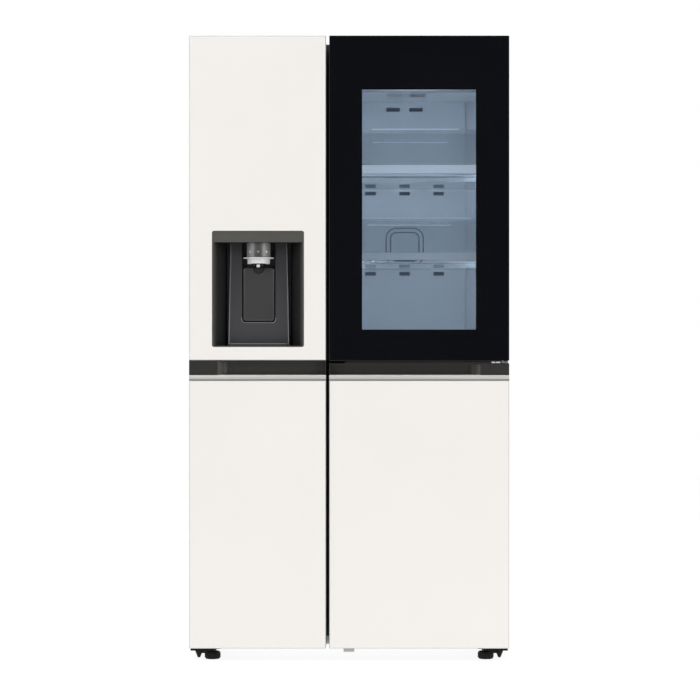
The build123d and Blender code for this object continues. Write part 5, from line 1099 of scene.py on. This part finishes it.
def floor():
    """Pale floor disc that fades out far from the object."""
    mesh = bmesh.new()
    bmesh.ops.create_circle(mesh, cap_ends=True, segments=FLOOR_SIDES, radius=FLOOR_RADIUS)
    data = bpy.data.meshes.new("floor")
    mesh.to_mesh(data)
    mesh.free()
    disc = bpy.data.objects.new("floor", data)
    bpy.context.scene.collection.objects.link(disc)
    finish = Finish(
        "floor", Base_Color=FLOOR_COLOUR, Roughness=FLOOR_ROUGHNESS, Emission_Color=WHITE,
        Emission_Strength=FLOOR_GLOW)
    distance = finish.nodes.new("ShaderNodeVectorMath")
    distance.operation = "LENGTH"
    finish.links.new(finish.place, distance.inputs[0])
    opacity = finish.ranged(distance.outputs["Value"], FLOOR_FADE, (1.0, 0.0))
    finish.links.new(opacity, finish.shader.inputs["Alpha"])
    data.materials.append(finish.material)


def studio_world():
    """White surroundings with a dark opening in front, so that flat glass stays dark."""
    world = bpy.data.worlds.new("studio")
    world.use_nodes = True
    bpy.context.scene.world = world
    nodes, links = world.node_tree.nodes, world.node_tree.links
    direction = nodes.new("ShaderNodeTexCoord").outputs["Generated"]
    split = nodes.new("ShaderNodeSeparateXYZ")
    links.new(direction, split.inputs[0])
    level = nodes.new("ShaderNodeMapRange")
    level.interpolation_type = "SMOOTHSTEP"
    level.inputs["From Min"].default_value = WORLD_OPENING[0]
    level.inputs["From Max"].default_value = WORLD_OPENING[1]
    level.inputs["To Min"].default_value = WORLD_FRONT_LEVEL
    level.inputs["To Max"].default_value = WORLD_LEVEL
    links.new(split.outputs["Y"], level.inputs["Value"])
    seen = nodes.new("ShaderNodeMath")
    seen.operation = "MAXIMUM"
    links.new(level.outputs["Result"], seen.inputs[0])
    links.new(nodes.new("ShaderNodeLightPath").outputs["Is Camera Ray"], seen.inputs[1])
    background = nodes["Background"]
    links.new(seen.outputs["Value"], background.inputs["Strength"])
    background.inputs["Color"].default_value = (*WHITE, 1.0)


def area_light(name, place, target, size, power, colour=WHITE, hidden=False, spread_angle=math.pi):
    """Rectangular soft light aimed at a point."""
    data = bpy.data.lights.new(name, "AREA")
    data.shape = "RECTANGLE"
    data.size, data.size_y = size
    data.energy = power
    data.color = colour
    data.spread = spread_angle
    light = bpy.data.objects.new(name, data)
    light.location = place
    aim = Vector(target) - Vector(place)
    light.rotation_euler = aim.to_track_quat("-Z", "Y").to_euler()
    light.visible_camera = not hidden
    light.visible_glossy = not hidden
    bpy.context.scene.collection.objects.link(light)


def studio_lights():
    """Large soft lights at the left front, right front and above."""
    for name, place, side, power in STUDIO_LIGHTS:
        area_light(name, place, STUDIO_TARGET, (side, side), power)


def cabin_lights():
    """A lamp at the top of the refrigerator compartment, and a strip along each side wall of both."""
    lamp_low, lamp_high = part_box("fridge_light")
    lamp = (lamp_low + lamp_high) / 2
    floor_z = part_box("fridge_liner")[0].z
    area_light(
        "cabin_lamp", (lamp.x, lamp.y, lamp_low.z - CABIN_LAMP_GAP), (lamp.x, lamp.y, floor_z), CABIN_LAMP,
        CABIN_LAMP_POWER, CABIN_COLOUR, True)
    for space, power in CABIN_STRIP_POWERS.items():
        low, high = OPENINGS[space + "_space_top"]
        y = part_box(space + "_door_bins")[1].y + CABIN_STRIP_GAP
        target = ((low[0] + high[0]) / 2, high[1], CABIN_STRIP_MIDDLE)
        for side, x in zip(("left", "right"), grown((low[0], high[0]), -CABIN_STRIP_INSET)):
            area_light(
                f"{space}_strip_{side}", (x, y, CABIN_STRIP_MIDDLE), target, CABIN_STRIP, power, CABIN_COLOUR,
                True, CABIN_STRIP_SPREAD)


def camera():
    """Level camera straight in front."""
    data = bpy.data.cameras.new("camera")
    data.sensor_width = SENSOR
    data.lens = SENSOR * CAMERA_DISTANCE / (PICTURE_SIZE * PICTURE_SCALE)
    view = bpy.data.objects.new("camera", data)
    view.location = (
        (PICTURE_SIZE / 2 - PICTURE_MIDDLE) * PICTURE_SCALE, DOOR_FRONT - CAMERA_DISTANCE,
        (PICTURE_FLOOR - PICTURE_SIZE / 2) * PICTURE_SCALE)
    view.rotation_euler = (QUARTER, 0.0, 0.0)
    bpy.context.scene.collection.objects.link(view)
    bpy.context.scene.camera = view
    bpy.context.scene.view_settings.view_transform = "Standard"


paint_nodes()
window_panes()
head_sleeve()
outlet()
head_marks()
column_edge_highlights()
paddle_pad()
tray_rim_highlight()
handle_lip()
hinge_links()
hinge_boots()
mullion_cap()
bin_details()
air_vents()
ceiling_cover()
filter_lines()
back_screws()
louvre_lips()
floor()
studio_world()
studio_lights()
cabin_lights()
camera()
